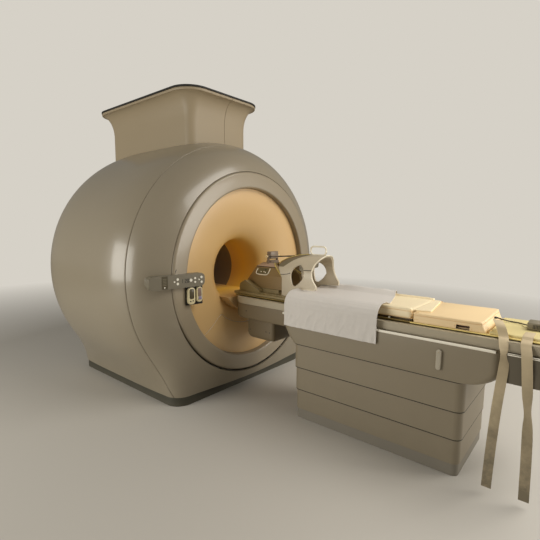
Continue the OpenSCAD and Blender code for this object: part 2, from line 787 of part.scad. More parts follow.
module release_lever() color("#dedbd0") {
    translate(lever_pin) rotate([0, -90, 0]) linear_extrude(16) {
        circle(15);
        translate([-93, -15]) square([93, 30]);
        translate([-93, 0]) circle(15);
    }
    translate(lever_pin - [0.5, 0, 0]) rotate([0, 90, 0]) cylinder(r = 5, h = 12, $fn = 32);
}

// Tabletop and what lies on it

rim_z = top_z + top_h;
bevel_w = 53;
bevel_h = 28;
slope = bevel_h / bevel_w;
lean = sqrt(1 + slope * slope);

// Cross section of the tabletop's trough, drawn in by a depth and carried up to the height z
module trough(d, z) {
    x1 = top_hw - d;
    x0 = top_hw - bevel_w - d * (lean - 1) / slope;
    z1 = top_z + bevel_h + d * (lean - slope);
    polygon([[-x1, z], [-x1, z1], [-x0, top_z + d], [x0, top_z + d], [x1, z1], [x1, z]]);
}

module tabletop() color("#d8cfa8") {
    intersection() {
        along_bore(top_end, top_front) difference() {
            trough(0, rim_z);
            trough(top_t, rim_z + 20);
        }
        translate([0, 0, 700]) linear_extrude(400) polygon([
            [-top_hw - 1, top_end], [-top_hw - 1, top_front - 60], [-top_hw + 40, top_front],
            [top_hw - 40, top_front], [top_hw + 1, top_front - 60], [top_hw + 1, top_end]
        ]);
    }
    for (x = [-150, 120]) translate([x, top_end + 40, tray_z + slide_gap])
        cube([30, top_l - 400, top_z - tray_z - slide_gap + eps]);
}

// Solid fill of the trough's inside, up to the height z
module in_trough(z, y0, y1) {
    along_bore(y0, y1) trough(top_t + touch, z);
}

coil_front = -850;
coil_rear = -1496;
pad_front = coil_rear - 4;
pad_rear = -2444;
pad_low = 896;
spine_front = pad_rear - 10;
spine_rear = -2868;
spine_top = 946;
foot_pad_z = 900;

module mattress() color("#e8d9ae") {
    in_trough(pad_low + eps, pad_rear, pad_front);
    along_bore(pad_rear, pad_front) translate([0, (pad_z + pad_low) / 2])
        rounded_rect(2 * top_hw - 4, pad_z - pad_low, 18);
    in_trough(foot_pad_z, top_end + 15, spine_rear - 10);
}

module spine_coil() color("#e3d2a4") difference() {
    union() {
        in_trough(pad_low, spine_rear, spine_front);
        across(-top_hw + 1, top_hw - 1) polygon([
            [spine_front, rim_z + touch], [spine_front, spine_top - 8], [spine_front - 8, spine_top],
            [spine_rear + 22, spine_top], [spine_rear, rim_z + touch]
        ]);
    }
    for (s = [0, 1]) mirror([s, 0, 0]) translate([-top_hw, -2784, rim_z + 6]) cube([30, 73, 20]);
}

deck_z = 914;
helmet_y0 = -1290;
helmet_y1 = -935;
helmet_low = 946;
head_z = 1035;
head_space_y = -970;

module head_space() {
    translate([0, helmet_y0 - 10, head_z]) rotate([-90, 0, 0]) cylinder(r = head_r, h = head_space_y - helmet_y0 + 10);
}

module head_coil_base() color("#9d9c90") {
    in_trough(deck_z - 8, coil_rear, coil_front);
    difference() {
        intersection() {
            across(-coil_hw, coil_hw) polygon([
                [coil_front, rim_z + 2], [coil_front - 30, deck_z + 56], [coil_front - 95, deck_z + 90],
                [coil_front - 262, deck_z + 20],
                [coil_front - 268, deck_z], [coil_rear, deck_z], [coil_rear, rim_z + 2]
            ]);
            translate([0, (coil_front + coil_rear) / 2, 860]) linear_extrude(200)
                rounded_rect(2 * coil_hw, coil_front - coil_rear, 60);
        }
        translate([-helmet_hw - 2, helmet_y0 - 20, helmet_low - touch])
            cube([2 * helmet_hw + 4, helmet_y1 - helmet_y0 + 22, 100]);
    }
    difference() {
        along_bore(helmet_y0, helmet_y1 - 5) polygon([
            [-150, deck_z - 8], [-150, helmet_low - touch], [150, helmet_low - touch], [150, deck_z - 8]
        ]);
        head_space();
    }
}

// Eight-sided outline of the helmet, scaled by a factor
function helmet_outline(s) = [
    [-helmet_hw * s, helmet_low], [helmet_hw * s, helmet_low], [helmet_hw * s, head_z + 20 * s],
    [helmet_hw * s * 0.72, head_z + 92 * s], [helmet_hw * s * 0.36, head_z + 124 * s],
    [-helmet_hw * s * 0.36, head_z + 124 * s], [-helmet_hw * s * 0.72, head_z + 92 * s],
    [-helmet_hw * s, head_z + 20 * s]
];

module helmet_slice(y, s) {
    along_bore(y, y + 1) polygon(helmet_outline(s));
}

module head_coil_helmet() color("#8d8b88") difference() {
    union() {
        hull() {
            helmet_slice(helmet_y0, 1);
            helmet_slice(mirror_pin[1] + 40, 1);
        }
        hull() {
            helmet_slice(mirror_pin[1] + 40, 1);
            helmet_slice(helmet_y1, 0.72);
        }
        for (s = [-1, 1]) translate([s * 60 - 6, mirror_pin[1] - 12, 1140])
            cube([12, 24, mirror_pin[2] - 1140 + 12]);
    }
    head_space();
    translate([-45, mirror_pin[1] - 140, 1100]) cube([90, 110, 100]);
    translate([-80, mirror_pin[1], mirror_pin[2]]) rotate([0, 90, 0]) cylinder(r = pin_r + 0.05, h = 160, $fn = 32);
}

shell_front = helmet_y0 - 2;
shell_rear = -1678;
shell_low = deck_z + touch;
arch_z = deck_z + 136;
arch_h = 200;
arch_top = arch_z + arch_h + 1;
window_y = shell_front - 180;
window_z = deck_z + 204;

// Half-round arch of the shoulder shell, drawn in by a depth
module shell_arch(d) {
    r = shell_hw - d;
    polygon(concat([[-r, shell_low]], [for (i = [0:24]) let (a = 180 - 180 * i / 24)
        [r * cos(a), arch_z + (arch_h - d) * pow(sin(a), 0.85)]], [[r, shell_low]]));
}

module head_coil_shell() color("#e6e4dc") {
    intersection() {
        along_bore(shell_rear, shell_front) difference() {
            shell_arch(0);
            shell_arch(shell_t);
        }
        across(-250, 250) difference() {
            polygon([
                [shell_front, shell_low], [shell_front, arch_top - 73], [shell_front - 48, arch_top - 36],
                [shell_front - 128, arch_top - 8], [shell_front - 208, arch_top],
                [shell_rear, arch_top], [shell_rear, deck_z + 76], [coil_rear - 20, deck_z + 71],
                [coil_rear + 4, deck_z + 56], [coil_rear + 4, shell_low]
            ]);
            translate([window_y, window_z]) {
                circle(56);
                polygon([[-54, -13], [54, -13], [10, -110], [-10, -110]]);
            }
            translate([shell_rear - 122, window_z - 13]) circle(188);
        }
    }
    across(-6, 6) translate([shell_rear + 88, arch_top + 25]) difference() {
        rounded_rect(150, 62, 28);
        rounded_rect(122, 36, 17);
    }
}

module head_coil_mirror() color("#86828a") translate([0, mirror_pin[1], mirror_pin[2]]) {
    translate([-52, -24, -22]) cube([104, 48, 64]);
    translate([-78, 0, 0]) rotate([0, 90, 0]) cylinder(r = pin_r, h = 156, $fn = 32);
    for (s = [0, 1]) mirror([s, 0, 0]) translate([-88, 0, 0]) rotate([0, 90, 0]) cylinder(r = 10, h = 16);
}

sheet_x = 336;
sheet_low = 722;
sheet_front = -1502;
sheet_rear = -2258;

// The sheet over the pad and down both sides
module sheet() color("#dcdcdf") along_bore(sheet_rear, sheet_front) polygon([
    [-sheet_x - sheet_t, sheet_low], [-sheet_x - sheet_t, 902], [-290, pad_z + sheet_t],
    [-270, pad_z + sheet_t + touch], [270, pad_z + sheet_t + touch], [290, pad_z + sheet_t],
    [sheet_x + sheet_t, 902], [sheet_x + sheet_t, 880], [sheet_x, 880], [sheet_x, 900], [270, pad_z + touch],
    [-270, pad_z + touch], [-sheet_x, 900], [-sheet_x, sheet_low]
]);

strap_low = 30;
strap_places = [165, 80];

// A strap from the foot pad over the table's near edge and down to just above the floor
module strap(y) {
    along_bore(y - strap_w / 2, y + strap_w / 2) polygon([
        [-120, foot_pad_z + touch], [-120, foot_pad_z + touch + strap_t], [-234, foot_pad_z + touch + strap_t],
        [-238, rim_z + 2 * touch + strap_t], [-245, rim_z + 2 * touch + strap_t], [-293, 877],
        [-table_hw - 8, 826], [-table_hw - 10, strap_low], [-table_hw - 10 + strap_t, strap_low],
        [-table_hw - 5, 823], [-291.5, 874], [-244, rim_z + 2 * touch], [-236, rim_z + 2 * touch],
        [-233.2, foot_pad_z + touch]
    ]);
}

module straps() color("#8e8b78") {
    for (y = strap_places) strap(top_end + y);
}

plug_y = top_end + 70;

module coil_plug() color("#6f7076") translate([-60, plug_y - 40, 900.3]) {
    cube([110, 78, 44]);
}

lead_r = 4;
lead_points = [
    [60, -2856.5, 922], [60, -2866, 922], [62, -2878, 921], [72, -2900, 914], [85, -2940, 906], [85, -2975, 905], [60, -3005, 907],
    [25, -3018, 912], [12, -3031, 914], [12, -3041.6, 914]
];

// Rings of a round cord along its points
function lead_ring(i) = let (
        a = lead_points[max(i - 1, 0)], b = lead_points[min(i + 1, len(lead_points) - 1)],
        t = (b - a) / norm(b - a), s = cross(t, [0, 0, 1]) / norm(cross(t, [0, 0, 1])), u = cross(s, t)
    ) [for (k = [0:7]) lead_points[i] + lead_r * (cos(45 * k) * s + sin(45 * k) * u)];

module coil_lead() color("#262626") {
    n = len(lead_points);
    polyhedron(
        points = [for (i = [0:n - 1]) each lead_ring(i)],
        faces = concat(
            [[for (k = [0:7]) k]],
            [for (i = [0:n - 2], k = [0:7]) [8 * i + k, 8 * i + 8 + k, 8 * i + 8 + (k + 1) % 8, 8 * i + (k + 1) % 8]],
            [[for (k = [7:-1:0]) 8 * (n - 1) + k]]
        )
    );
}

vacuum_vessel();
thermal_shield();
helium_vessel();
main_coils();
cold_head();
quench_pipe();
gradient_coil();
body_coil();
bore_liner();
front_flare();
lower_access_panel();
bore_bridge();
face_ring();
front_shell();
body_shell();
rear_cover();
skirting();
base_frame();
turret_left();
turret_right();
turret_seal();
operator_panel_left();
operator_panel_right();
handset_holder();
handsets();
button_1();
button_2();
button_3();
button_4();
button_5();
button_6();
button_7();
button_8();
button_9();
table_plate();
kick_strip();
cover_lower();
cover_third();
cover_second();
cover_upper();
lift_outer();
lift_middle();
lift_inner();
table_frame();
table_nose();
docking_box();
foot_end_cover();
table_drive();
release_lever();
tabletop();
mattress();
head_coil_base();
head_coil_helmet();
head_coil_shell();
head_coil_mirror();
spine_coil();
sheet();
straps();
coil_plug();
coil_lead();
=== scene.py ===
import math
from contextlib import contextmanager

import bmesh
import bpy
import numpy as np
from mathutils import Matrix, Vector, noise


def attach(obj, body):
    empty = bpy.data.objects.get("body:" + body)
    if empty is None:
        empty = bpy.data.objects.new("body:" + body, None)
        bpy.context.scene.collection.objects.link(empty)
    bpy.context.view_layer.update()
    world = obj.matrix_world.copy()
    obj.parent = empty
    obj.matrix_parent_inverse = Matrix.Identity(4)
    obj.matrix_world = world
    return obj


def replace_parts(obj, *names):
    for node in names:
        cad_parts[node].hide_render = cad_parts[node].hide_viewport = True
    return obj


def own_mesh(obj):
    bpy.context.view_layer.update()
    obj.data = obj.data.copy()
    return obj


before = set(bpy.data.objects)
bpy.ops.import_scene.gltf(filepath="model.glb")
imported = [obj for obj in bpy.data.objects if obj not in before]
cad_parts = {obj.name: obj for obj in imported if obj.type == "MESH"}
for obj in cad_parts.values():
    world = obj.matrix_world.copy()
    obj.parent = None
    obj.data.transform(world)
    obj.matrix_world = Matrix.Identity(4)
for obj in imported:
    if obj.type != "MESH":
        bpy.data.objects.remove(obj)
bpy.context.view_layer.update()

SIDES = ((-1, "near"), (1, "far"))

# The body that each CAD node's pieces ride on. The lever, the mirror and the buttons are bodies of their own
BODY = {"cover_second": "second_cover", "cover_third": "third_cover"}
for rider, nodes in (
        ("magnet", "front_shell body_shell face_ring front_flare lower_access_panel bore_liner bore_bridge "
                   "rear_cover turret_left turret_right turret_seal skirting operator_panel_left "
                   "operator_panel_right handset_holder handsets cover_lower kick_strip"),
        ("table_upper", "cover_upper table_frame table_nose docking_box foot_end_cover"),
        ("table_slide", "tabletop mattress spine_coil head_coil_shell head_coil_base head_coil_helmet sheet "
                        "straps coil_plug coil_lead")):
    BODY.update(dict.fromkeys(nodes.split(), rider))


# Node trees

class Wire:
    """What comes out of a node, so that sums of such numbers are written plainly."""

    def __init__(self, tree, socket):
        self.tree, self.socket = tree, socket

    def __add__(self, other):
        return self.tree.math("ADD", self, other)

    def __sub__(self, other):
        return self.tree.math("SUBTRACT", self, other)

    def __rsub__(self, other):
        return self.tree.math("SUBTRACT", other, self)

    def __mul__(self, other):
        return self.tree.math("MULTIPLY", self, other)

    def __truediv__(self, other):
        return self.tree.math("DIVIDE", self, other)


class Tree:
    """Short ways to add and link nodes in one node tree."""

    def __init__(self, tree):
        self.tree = tree

    def feed(self, node, **inputs):
        """Sets or links inputs, named with an underscore for each space or numbered as in _0."""
        for key, value in inputs.items():
            key = key.replace("_", " ").strip()
            socket = node.inputs[int(key) if key.isdigit() else key]
            if isinstance(value, Wire):
                self.tree.links.new(value.socket, socket)
            else:
                socket.default_value = value
        return node

    def node(self, kind, settings=None, **inputs):
        node = self.tree.nodes.new(kind)
        for key, value in (settings or {}).items():
            setattr(node, key, value)
        return self.feed(node, **inputs)

    def wire(self, kind, output=0, settings=None, **inputs):
        return Wire(self, self.node(kind, settings, **inputs).outputs[output])

    def math(self, operation, a, b=0.0):
        return self.wire("ShaderNodeMath", 0, {"operation": operation}, _0=a, _1=b)

    def limit(self, value):
        """A number held between 0 and 1."""
        return self.math("MINIMUM", self.math("MAXIMUM", value, 0.0), 1.0)

    def place(self):
        return self.wire("ShaderNodeTexCoord", "Object")

    def noise(self, vector, scale, detail, roughness):
        return self.wire("ShaderNodeTexNoise", Vector=vector, Scale=scale, Detail=detail, Roughness=roughness)

    def ramp(self, factor, stops):
        node = self.node("ShaderNodeValToRGB", _0=factor)
        while len(node.color_ramp.elements) < len(stops):
            node.color_ramp.elements.new(0.5)
        for element, (place, colour) in zip(node.color_ramp.elements, stops):
            element.position, element.color = place, tone(*colour)
        return Wire(self, node.outputs[0])


def new_group(kind, name, inputs, outputs):
    """A group with named inputs and outputs; gives its tree, a way to read an input, and its end."""
    group = bpy.data.node_groups.new(name, kind)
    for way, rows in (("INPUT", inputs), ("OUTPUT", outputs)):
        for label, form, *default in rows:
            socket = group.interface.new_socket(name=label, in_out=way, socket_type="NodeSocket" + form)
            if default:
                socket.default_value = default[0]
    t = Tree(group)
    source = t.node("NodeGroupInput")
    return t, lambda label: Wire(t, source.outputs[label]), t.node("NodeGroupOutput")


# Finishes

def tone(red, green, blue):
    """A colour written as the screen shows it, from 0 to 255, as the shader wants it."""
    shares = (red / 255, green / 255, blue / 255)
    return (*(s / 12.92 if s <= 0.04045 else ((s + 0.055) / 1.055) ** 2.4 for s in shares), 1.0)


def make_skin_group():
    """Slow and fine colour change of a moulded or painted skin, with a height for its orange peel."""
    t, given, end = new_group(
        "ShaderNodeTree", "moulded_skin",
        [("Colour", "Color", (0.5, 0.5, 0.5, 1)), ("Cloud", "Float", 0.06), ("Speck", "Float", 0.03),
         ("Scale", "Float", 3.0), ("Roughness", "Float", 0.4)],
        [("Colour", "Color"), ("Roughness", "Float"), ("Height", "Float")])
    place = t.place()
    cloud = (t.noise(place, given("Scale"), 4.0, 0.55) - 0.5) * given("Cloud")
    speck = (t.noise(place, 260.0, 2.0, 0.6) - 0.5) * given("Speck")
    bright = t.wire("ShaderNodeVectorMath", 0, {"operation": "SCALE"}, _0=given("Colour"),
                    Scale=cloud + speck + 1.0)
    t.feed(end, Colour=bright, Roughness=given("Roughness") + cloud * 0.8,
           Height=t.noise(place, 420.0, 2.0, 0.5))
    return t.tree


def make_dust_and_shade_group():
    """Mixes a second colour in below a height, in patches: dust and scuffs on the skirting, painted shade
    lower down on the straps, and a darker colour lower down on the shell and the table.
    """
    t, given, end = new_group(
        "ShaderNodeTree", "dust_and_shade_mix",
        [("Colour", "Color", (0.5, 0.5, 0.5, 1)), ("Dust", "Color", (0.3, 0.28, 0.24, 1)),
         ("Top", "Float", 0.35), ("Amount", "Float", 0.4)],
        [("Colour", "Color"), ("Mask", "Float")])
    place = t.place()
    low = 1.0 - t.limit(t.wire("ShaderNodeSeparateXYZ", "Z", Vector=place) / given("Top"))
    mask = low * t.noise(place, 9.0, 5.0, 0.65) * given("Amount")
    mixed = t.wire("ShaderNodeMix", 2, {"data_type": "RGBA"}, _0=mask, _6=given("Colour"), _7=given("Dust"))
    t.feed(end, Mask=mask, Colour=mixed)
    return t.tree


SKIN_GROUP = make_skin_group()
DUST_AND_SHADE_GROUP = make_dust_and_shade_group()
MATERIALS = {}
# Where the tones along the bore begin and how far they reach: they paint the bore's inner light and shade.
BORE_LIGHT_START = 0.87
BORE_LIGHT_DEPTH = 1.4


def new_material(name):
    material = MATERIALS[name] = bpy.data.materials.new(name)
    material.use_nodes = True
    return Tree(material.node_tree), material.node_tree.nodes["Principled BSDF"]


def skin(name, colour, roughness, bump, cloud=0.06, speck=0.03, scale=3.0, metal=0.0, coat=0.0,
         coat_roughness=0.12, dust_and_shade=None):
    """A moulded, painted or metal skin, in one tone or in a list of tones along the bore that paints the
    light and shade inside the bore.
    """
    t, shader = new_material(name)
    if isinstance(colour, list):
        depth = t.wire("ShaderNodeSeparateXYZ", "Y", Vector=t.place()) + BORE_LIGHT_START
        shade = t.ramp(depth / BORE_LIGHT_DEPTH, colour)
    else:
        shade = tone(*colour)
    grain = t.node("ShaderNodeGroup", {"node_tree": SKIN_GROUP}, Colour=shade, Cloud=cloud, Speck=speck,
                   Scale=scale, Roughness=roughness)
    paint, rough, height = (Wire(t, grain.outputs[key]) for key in ("Colour", "Roughness", "Height"))
    # Below a height a second colour is mixed in, in patches: dust on some skins, painted shade on others.
    if dust_and_shade:
        top, amount, dirt_and_shade = dust_and_shade
        paint = t.wire("ShaderNodeGroup", "Colour", {"node_tree": DUST_AND_SHADE_GROUP}, Colour=paint,
                       Dust=tone(*dirt_and_shade), Top=top, Amount=amount)
    relief = t.wire("ShaderNodeBump", Strength=bump, Distance=0.001, Height=height)
    t.feed(shader, Base_Color=paint, Roughness=rough, Normal=relief, Metallic=metal)
    if coat:
        t.feed(shader, Coat_Weight=coat, Coat_Roughness=coat_roughness)


# The shell is darker in patches below half a metre.
skin("shell_gloss", (143, 133, 114), 0.3, 0.02, cloud=0.07, speck=0.02, scale=1.6, coat=0.35,
     dust_and_shade=(0.5, 0.35, (96, 88, 70)))
skin("ring_gloss", (150, 138, 117), 0.34, 0.02, cloud=0.05, scale=2.0, coat=0.25)
# Beige at the mouth's rim, turning bright amber in the tube behind the flare: painted light, the warm glow
# inside the bore, over the plastic's beige.
skin("mouth_painted_light", [(0.0, (206, 172, 122)), (0.1, (210, 174, 116)), (0.18, (234, 194, 110)),
                    (0.3, (250, 202, 84)), (0.42, (246, 198, 104)), (0.5, (222, 184, 130)),
                    (1.0, (196, 166, 124))], 0.4, 0.03, speck=0.02, scale=2.0, coat=0.15, coat_roughness=0.2)
# The liner darkens deeper into the bore: painted shade.
skin("liner_painted_shade", [(0.0, (150, 134, 108)), (1.0, (120, 104, 84))], 0.4, 0.03, speck=0.02, scale=2.0,
     coat=0.15, coat_roughness=0.2)
skin("turret_paint", (158, 143, 117), 0.5, 0.03, cloud=0.07, scale=1.5)
# Dark rubber of the turret's seal, also used for dark strips that paint the shade in the table's seams.
skin("seal_rubber_and_seam_shade", (34, 32, 28), 0.7, 0.1)
# The skirting gathers lighter dust in patches near the floor.
skin("skirting_vinyl", (62, 60, 48), 0.55, 0.08, cloud=0.15, scale=6, dust_and_shade=(0.05, 0.5, (104, 98, 82)))
skin("kick_vinyl", (126, 120, 108), 0.55, 0.08, cloud=0.12, scale=6)
skin("panel_plastic", (112, 105, 88), 0.38, 0.03, cloud=0.04)
skin("button_white", (236, 232, 218), 0.35, 0.03, cloud=0.03)
skin("dark_plastic", (30, 29, 27), 0.5, 0.05)
skin("display_dark", (78, 70, 50), 0.3, 0.02)
skin("display_pale", (110, 102, 80), 0.5, 0.02)
skin("handset_cream", (216, 204, 164), 0.4, 0.03)
skin("handset_mauve", (128, 108, 96), 0.4, 0.03)
skin("key_violet", (140, 132, 160), 0.35, 0.02)
# The table's paint is darker in patches below half a metre.
skin("table_paint", (138, 127, 106), 0.45, 0.05, scale=2.5, dust_and_shade=(0.5, 0.5, (110, 102, 86)))
skin("frame_grey", (172, 161, 138), 0.42, 0.04, cloud=0.05)
skin("nose_grey", (118, 104, 80), 0.42, 0.04, cloud=0.05)
# Near white: a pale rail's colour that also paints the highlight of the cover's rounded shoulder.
skin("rail_pale_and_highlight", (240, 234, 218), 0.32, 0.02, cloud=0.04)
skin("end_cover_dark", (96, 88, 72), 0.5, 0.05)
skin("lever_white", (176, 168, 150), 0.35, 0.03)
skin("tabletop_resin", (206, 182, 116), 0.35, 0.03, cloud=0.08)
# A lighter copy of the tabletop's resin: painted highlight on its lit top edge.
skin("straw_edge_highlight", (246, 222, 140), 0.4, 0.03, cloud=0.05)
skin("pad_vinyl", (251, 234, 196), 0.5, 0.12, cloud=0.04, scale=8)
skin("pad_piping", (226, 192, 138), 0.5, 0.05)
# Dark colour of the pad's underlay: painted shade in the gap under the pad.
skin("underlay_painted_shade", (104, 92, 72), 0.8, 0.2)
skin("foot_pad_vinyl", (226, 210, 150), 0.5, 0.1)
skin("coil_cream", (246, 218, 170), 0.42, 0.04, cloud=0.05)
# Dark brown for the spine coil's slots: painted shade.
skin("slot_painted_shade", (70, 34, 16), 0.7, 0.05)
skin("shell_white", (196, 184, 160), 0.35, 0.03, cloud=0.16, scale=11)
skin("coil_grey", (118, 108, 84), 0.45, 0.05, cloud=0.05)
skin("rim_white", (238, 230, 208), 0.35, 0.02)
skin("rim_yellow", (206, 184, 96), 0.35, 0.02)
skin("line_red", (140, 82, 40), 0.4, 0.02)
skin("helmet_grey", (142, 118, 78), 0.45, 0.05, cloud=0.05)
skin("helmet_rose", (178, 152, 130), 0.42, 0.03, cloud=0.04)
skin("tray_grey", (140, 124, 84), 0.45, 0.05, cloud=0.05)
skin("socket_brown", (104, 96, 66), 0.5, 0.05)
skin("mirror_mauve", (132, 116, 98), 0.4, 0.03)
skin("mirror_silver", (200, 205, 208), 0.04, 0.0, metal=1.0)
skin("knob_cream", (232, 208, 160), 0.35, 0.02)
skin("sheet_cotton", (214, 209, 203), 0.85, 0.15, cloud=0.03)
# The webbing darkens in patches from the table's edge down to the floor: painted shade, as it hangs out of
# the light.
skin("strap_webbing", (206, 188, 154), 0.8, 0.2, cloud=0.08, scale=9, dust_and_shade=(0.97, 2.0, (122, 112, 92)))
skin("plug_grey", (132, 124, 104), 0.5, 0.06)
skin("lead_rubber", (70, 64, 52), 0.6, 0.05)
skin("inner_steel", (150, 150, 146), 0.4, 0.05, metal=0.8)
skin("inner_aluminium", (186, 187, 186), 0.35, 0.05, metal=0.9)
skin("inner_resin", (186, 166, 120), 0.6, 0.1)
skin("inner_copper", (184, 120, 70), 0.35, 0.05, metal=0.9)
skin("inner_dark", (58, 58, 56), 0.5, 0.05)


# Finished pieces

def add_object(name, data):
    obj = bpy.data.objects.new(name, data)
    bpy.context.collection.objects.link(obj)
    return obj


def paint(obj, material):
    obj.data.materials.clear()
    obj.data.materials.append(MATERIALS[material])


def give(obj, material, node):
    """Finishes a piece: its material, and the body it rides on, found from a CAD node's name."""
    if material:
        paint(obj, material)
    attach(obj, BODY.get(node, node))
    return obj


def stand(obj, material, node):
    """Finishes a piece that takes the place of a CAD node."""
    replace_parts(give(obj, material, node), node)
    return obj


# The camera and the light

BACKDROP = tone(214, 209, 199)
AMBIENT = 0.36
FLOOR_FADE = (2.6, 5.0)


def aimed(name, data, place, direction, roll=0.0):
    """A camera or lamp at a place, looking along a direction."""
    turn = direction.to_track_quat("-Z", "Y").to_matrix().to_4x4()
    obj = add_object(name, data)
    obj.matrix_world = Matrix.Translation(place) @ turn @ Matrix.Rotation(-roll, 4, "Z")
    return obj


def make_camera():
    data = bpy.data.cameras.new("photo_view")
    data.lens, data.sensor_width = 26.313, 36
    data.shift_x, data.shift_y = 0.0028, 0.0009
    data.clip_start, data.clip_end = 0.05, 60
    heading, pitch, roll = (math.radians(angle) for angle in (49.8, 6.66, -0.24))
    ahead = Vector((math.sin(heading) * math.cos(pitch), math.cos(heading) * math.cos(pitch),
                    -math.sin(pitch)))
    bpy.context.scene.camera = aimed("photo_view", data, (-2.703, -3.336, 1.495), ahead, roll)


def make_lamp(name, place, aim, size, power, colour):
    data = bpy.data.lights.new(name, "AREA")
    data.shape = "RECTANGLE"
    data.size, data.size_y = size
    data.energy, data.color = power, colour
    aimed(name, data, place, Vector(aim) - Vector(place))


def make_stage():
    """A plain pale floor that fades into the backdrop, and a world that shows it to the camera."""
    bpy.ops.mesh.primitive_plane_add(size=60, location=(0, 0, -0.001))
    floor = bpy.context.object
    floor.name = "studio_floor"
    t, shader = new_material("studio_floor")
    t.feed(shader, Base_Color=tone(196, 192, 184), Roughness=0.5, Specular_IOR_Level=0.3)
    reach = t.wire("ShaderNodeVectorMath", "Value", {"operation": "LENGTH"}, _0=t.place())
    seen = t.wire("ShaderNodeLightPath", "Is Camera Ray")
    pale = t.wire("ShaderNodeEmission", Strength=1.0, Color=BACKDROP)
    blend = t.wire("ShaderNodeMixShader", _0=t.limit((reach - FLOOR_FADE[0]) / FLOOR_FADE[1]) * seen,
                   _1=Wire(t, shader.outputs[0]), _2=pale)
    t.feed(t.tree.nodes["Material Output"], Surface=blend)
    floor.data.materials.append(MATERIALS["studio_floor"])
    world = bpy.context.scene.world = bpy.data.worlds.new("studio")
    world.use_nodes = True
    w = Tree(world.node_tree)
    path = w.node("ShaderNodeLightPath")
    seen = w.math("MAXIMUM", Wire(w, path.outputs["Is Camera Ray"]),
                  Wire(w, path.outputs["Is Transmission Ray"]))
    w.feed(w.tree.nodes["Background"], Color=BACKDROP, Strength=seen * (1.0 - AMBIENT) + AMBIENT)


make_camera()
make_stage()
make_lamp("ceiling_panel", (0.9, -4.3, 4.0), (0.0, -2.9, 0.7), (3.4, 2.2), 122, (1.0, 0.96, 0.9))
make_lamp("front_panel", (2.7, -5.7, 1.8), (0.0, -0.8, 1.1), (2.6, 1.8), 108, (1.0, 0.95, 0.87))
make_lamp("left_panel", (-5.2, 0.9, 1.6), (-0.9, -0.4, 1.2), (3.6, 2.2), 148, (1.0, 0.97, 0.9))
bpy.context.scene.view_settings.view_transform = "Standard"


# Mesh helpers

@contextmanager
def editing(obj):
    """A piece's mesh opened for changes and then written back."""
    bm = bmesh.new()
    bm.from_mesh(obj.data)
    yield bm
    bm.to_mesh(obj.data)
    bm.free()


def smooth(obj, angle=35):
    obj.data.shade_smooth()
    obj.data.set_sharp_from_angle(angle=math.radians(angle))
    return obj


def from_data(name, points, faces, angle=35):
    mesh = bpy.data.meshes.new(name)
    mesh.from_pydata([tuple(p) for p in points], [], [tuple(f) for f in faces])
    mesh.validate()
    return smooth(add_object(name, mesh), angle)


def from_bmesh(name, bm, angle=35):
    mesh = bpy.data.meshes.new(name)
    bm.to_mesh(mesh)
    bm.free()
    return smooth(add_object(name, mesh), angle)


def bevel(obj, width, segments=2, angle=35):
    m = obj.modifiers.new("rounding", "BEVEL")
    m.width, m.segments = width, segments
    m.limit_method, m.angle_limit = "ANGLE", math.radians(angle)
    m.harden_normals = m.use_clamp_overlap = True
    return obj


def apply_modifiers(obj):
    depsgraph = bpy.context.evaluated_depsgraph_get()
    mesh = bpy.data.meshes.new_from_object(obj.evaluated_get(depsgraph))
    obj.modifiers.clear()
    old, obj.data = obj.data, mesh
    bpy.data.meshes.remove(old)


def cut(obj, cutter, operation="DIFFERENCE"):
    """Applies an exact boolean and removes the cutter."""
    modifier = obj.modifiers.new("cut", "BOOLEAN")
    modifier.operation, modifier.solver, modifier.object = operation, "EXACT", cutter
    apply_modifiers(obj)
    bpy.data.objects.remove(cutter)


def outwards(obj, middle=(0, 0, 0)):
    """Turns the faces away from a place inside, or with no place only makes them agree."""
    with editing(obj) as bm:
        bmesh.ops.recalc_face_normals(bm, faces=bm.faces)
        if middle is not None and sum(f.normal.dot(f.calc_center_median() - Vector(middle)) * f.calc_area()
                                      for f in bm.faces) < 0:
            bmesh.ops.reverse_faces(bm, faces=bm.faces)


def arc(centre, radius, start, end, count):
    angles = [math.radians(start + (end - start) * i / count) for i in range(count + 1)]
    return [(centre[0] + radius * math.cos(a), centre[1] + radius * math.sin(a)) for a in angles]


def circle(a, b, radius, count):
    turns = np.linspace(0, 2 * math.pi, count, endpoint=False)
    return [(a + radius * math.cos(turn), b + radius * math.sin(turn)) for turn in turns]


def smooth_path(points, steps=8):
    """Points along a Catmull-Rom curve, with whatever else each row holds carried along."""
    rows = [np.array(p) for p in points]
    rows = [2 * rows[0] - rows[1]] + rows + [2 * rows[-1] - rows[-2]]
    out = []
    for a, b, c, d in zip(rows, rows[1:], rows[2:], rows[3:]):
        for t in (i / steps for i in range(steps)):
            out.append(0.5 * (2 * b + (c - a) * t + (2 * a - 5 * b + 4 * c - d) * t * t
                              + (3 * b - a - 3 * c + d) * t ** 3))
    return [tuple(float(number) for number in row) for row in out + [rows[-2]]]


def rounded_plan(half_x, y0, y1, corner, steps=10):
    """A rounded rectangle seen from above, between two places along the bore."""
    points = []
    for x, y, start in ((half_x - corner, y1 - corner, 0), (corner - half_x, y1 - corner, 90),
                        (corner - half_x, y0 + corner, 180), (half_x - corner, y0 + corner, 270)):
        points += arc((x, y), corner, start, start + 90, steps)
    return points


def ring_at(plan, z):
    return [(x, y, z) for x, y in plan]


def rows_faces(rows, columns, closed=True):
    """Quads of a grid of rows, each closed on itself where asked."""
    return [(i * columns + j, i * columns + (j + 1) % columns, (i + 1) * columns + (j + 1) % columns,
             (i + 1) * columns + j)
            for i in range(rows - 1) for j in range(columns if closed else columns - 1)]


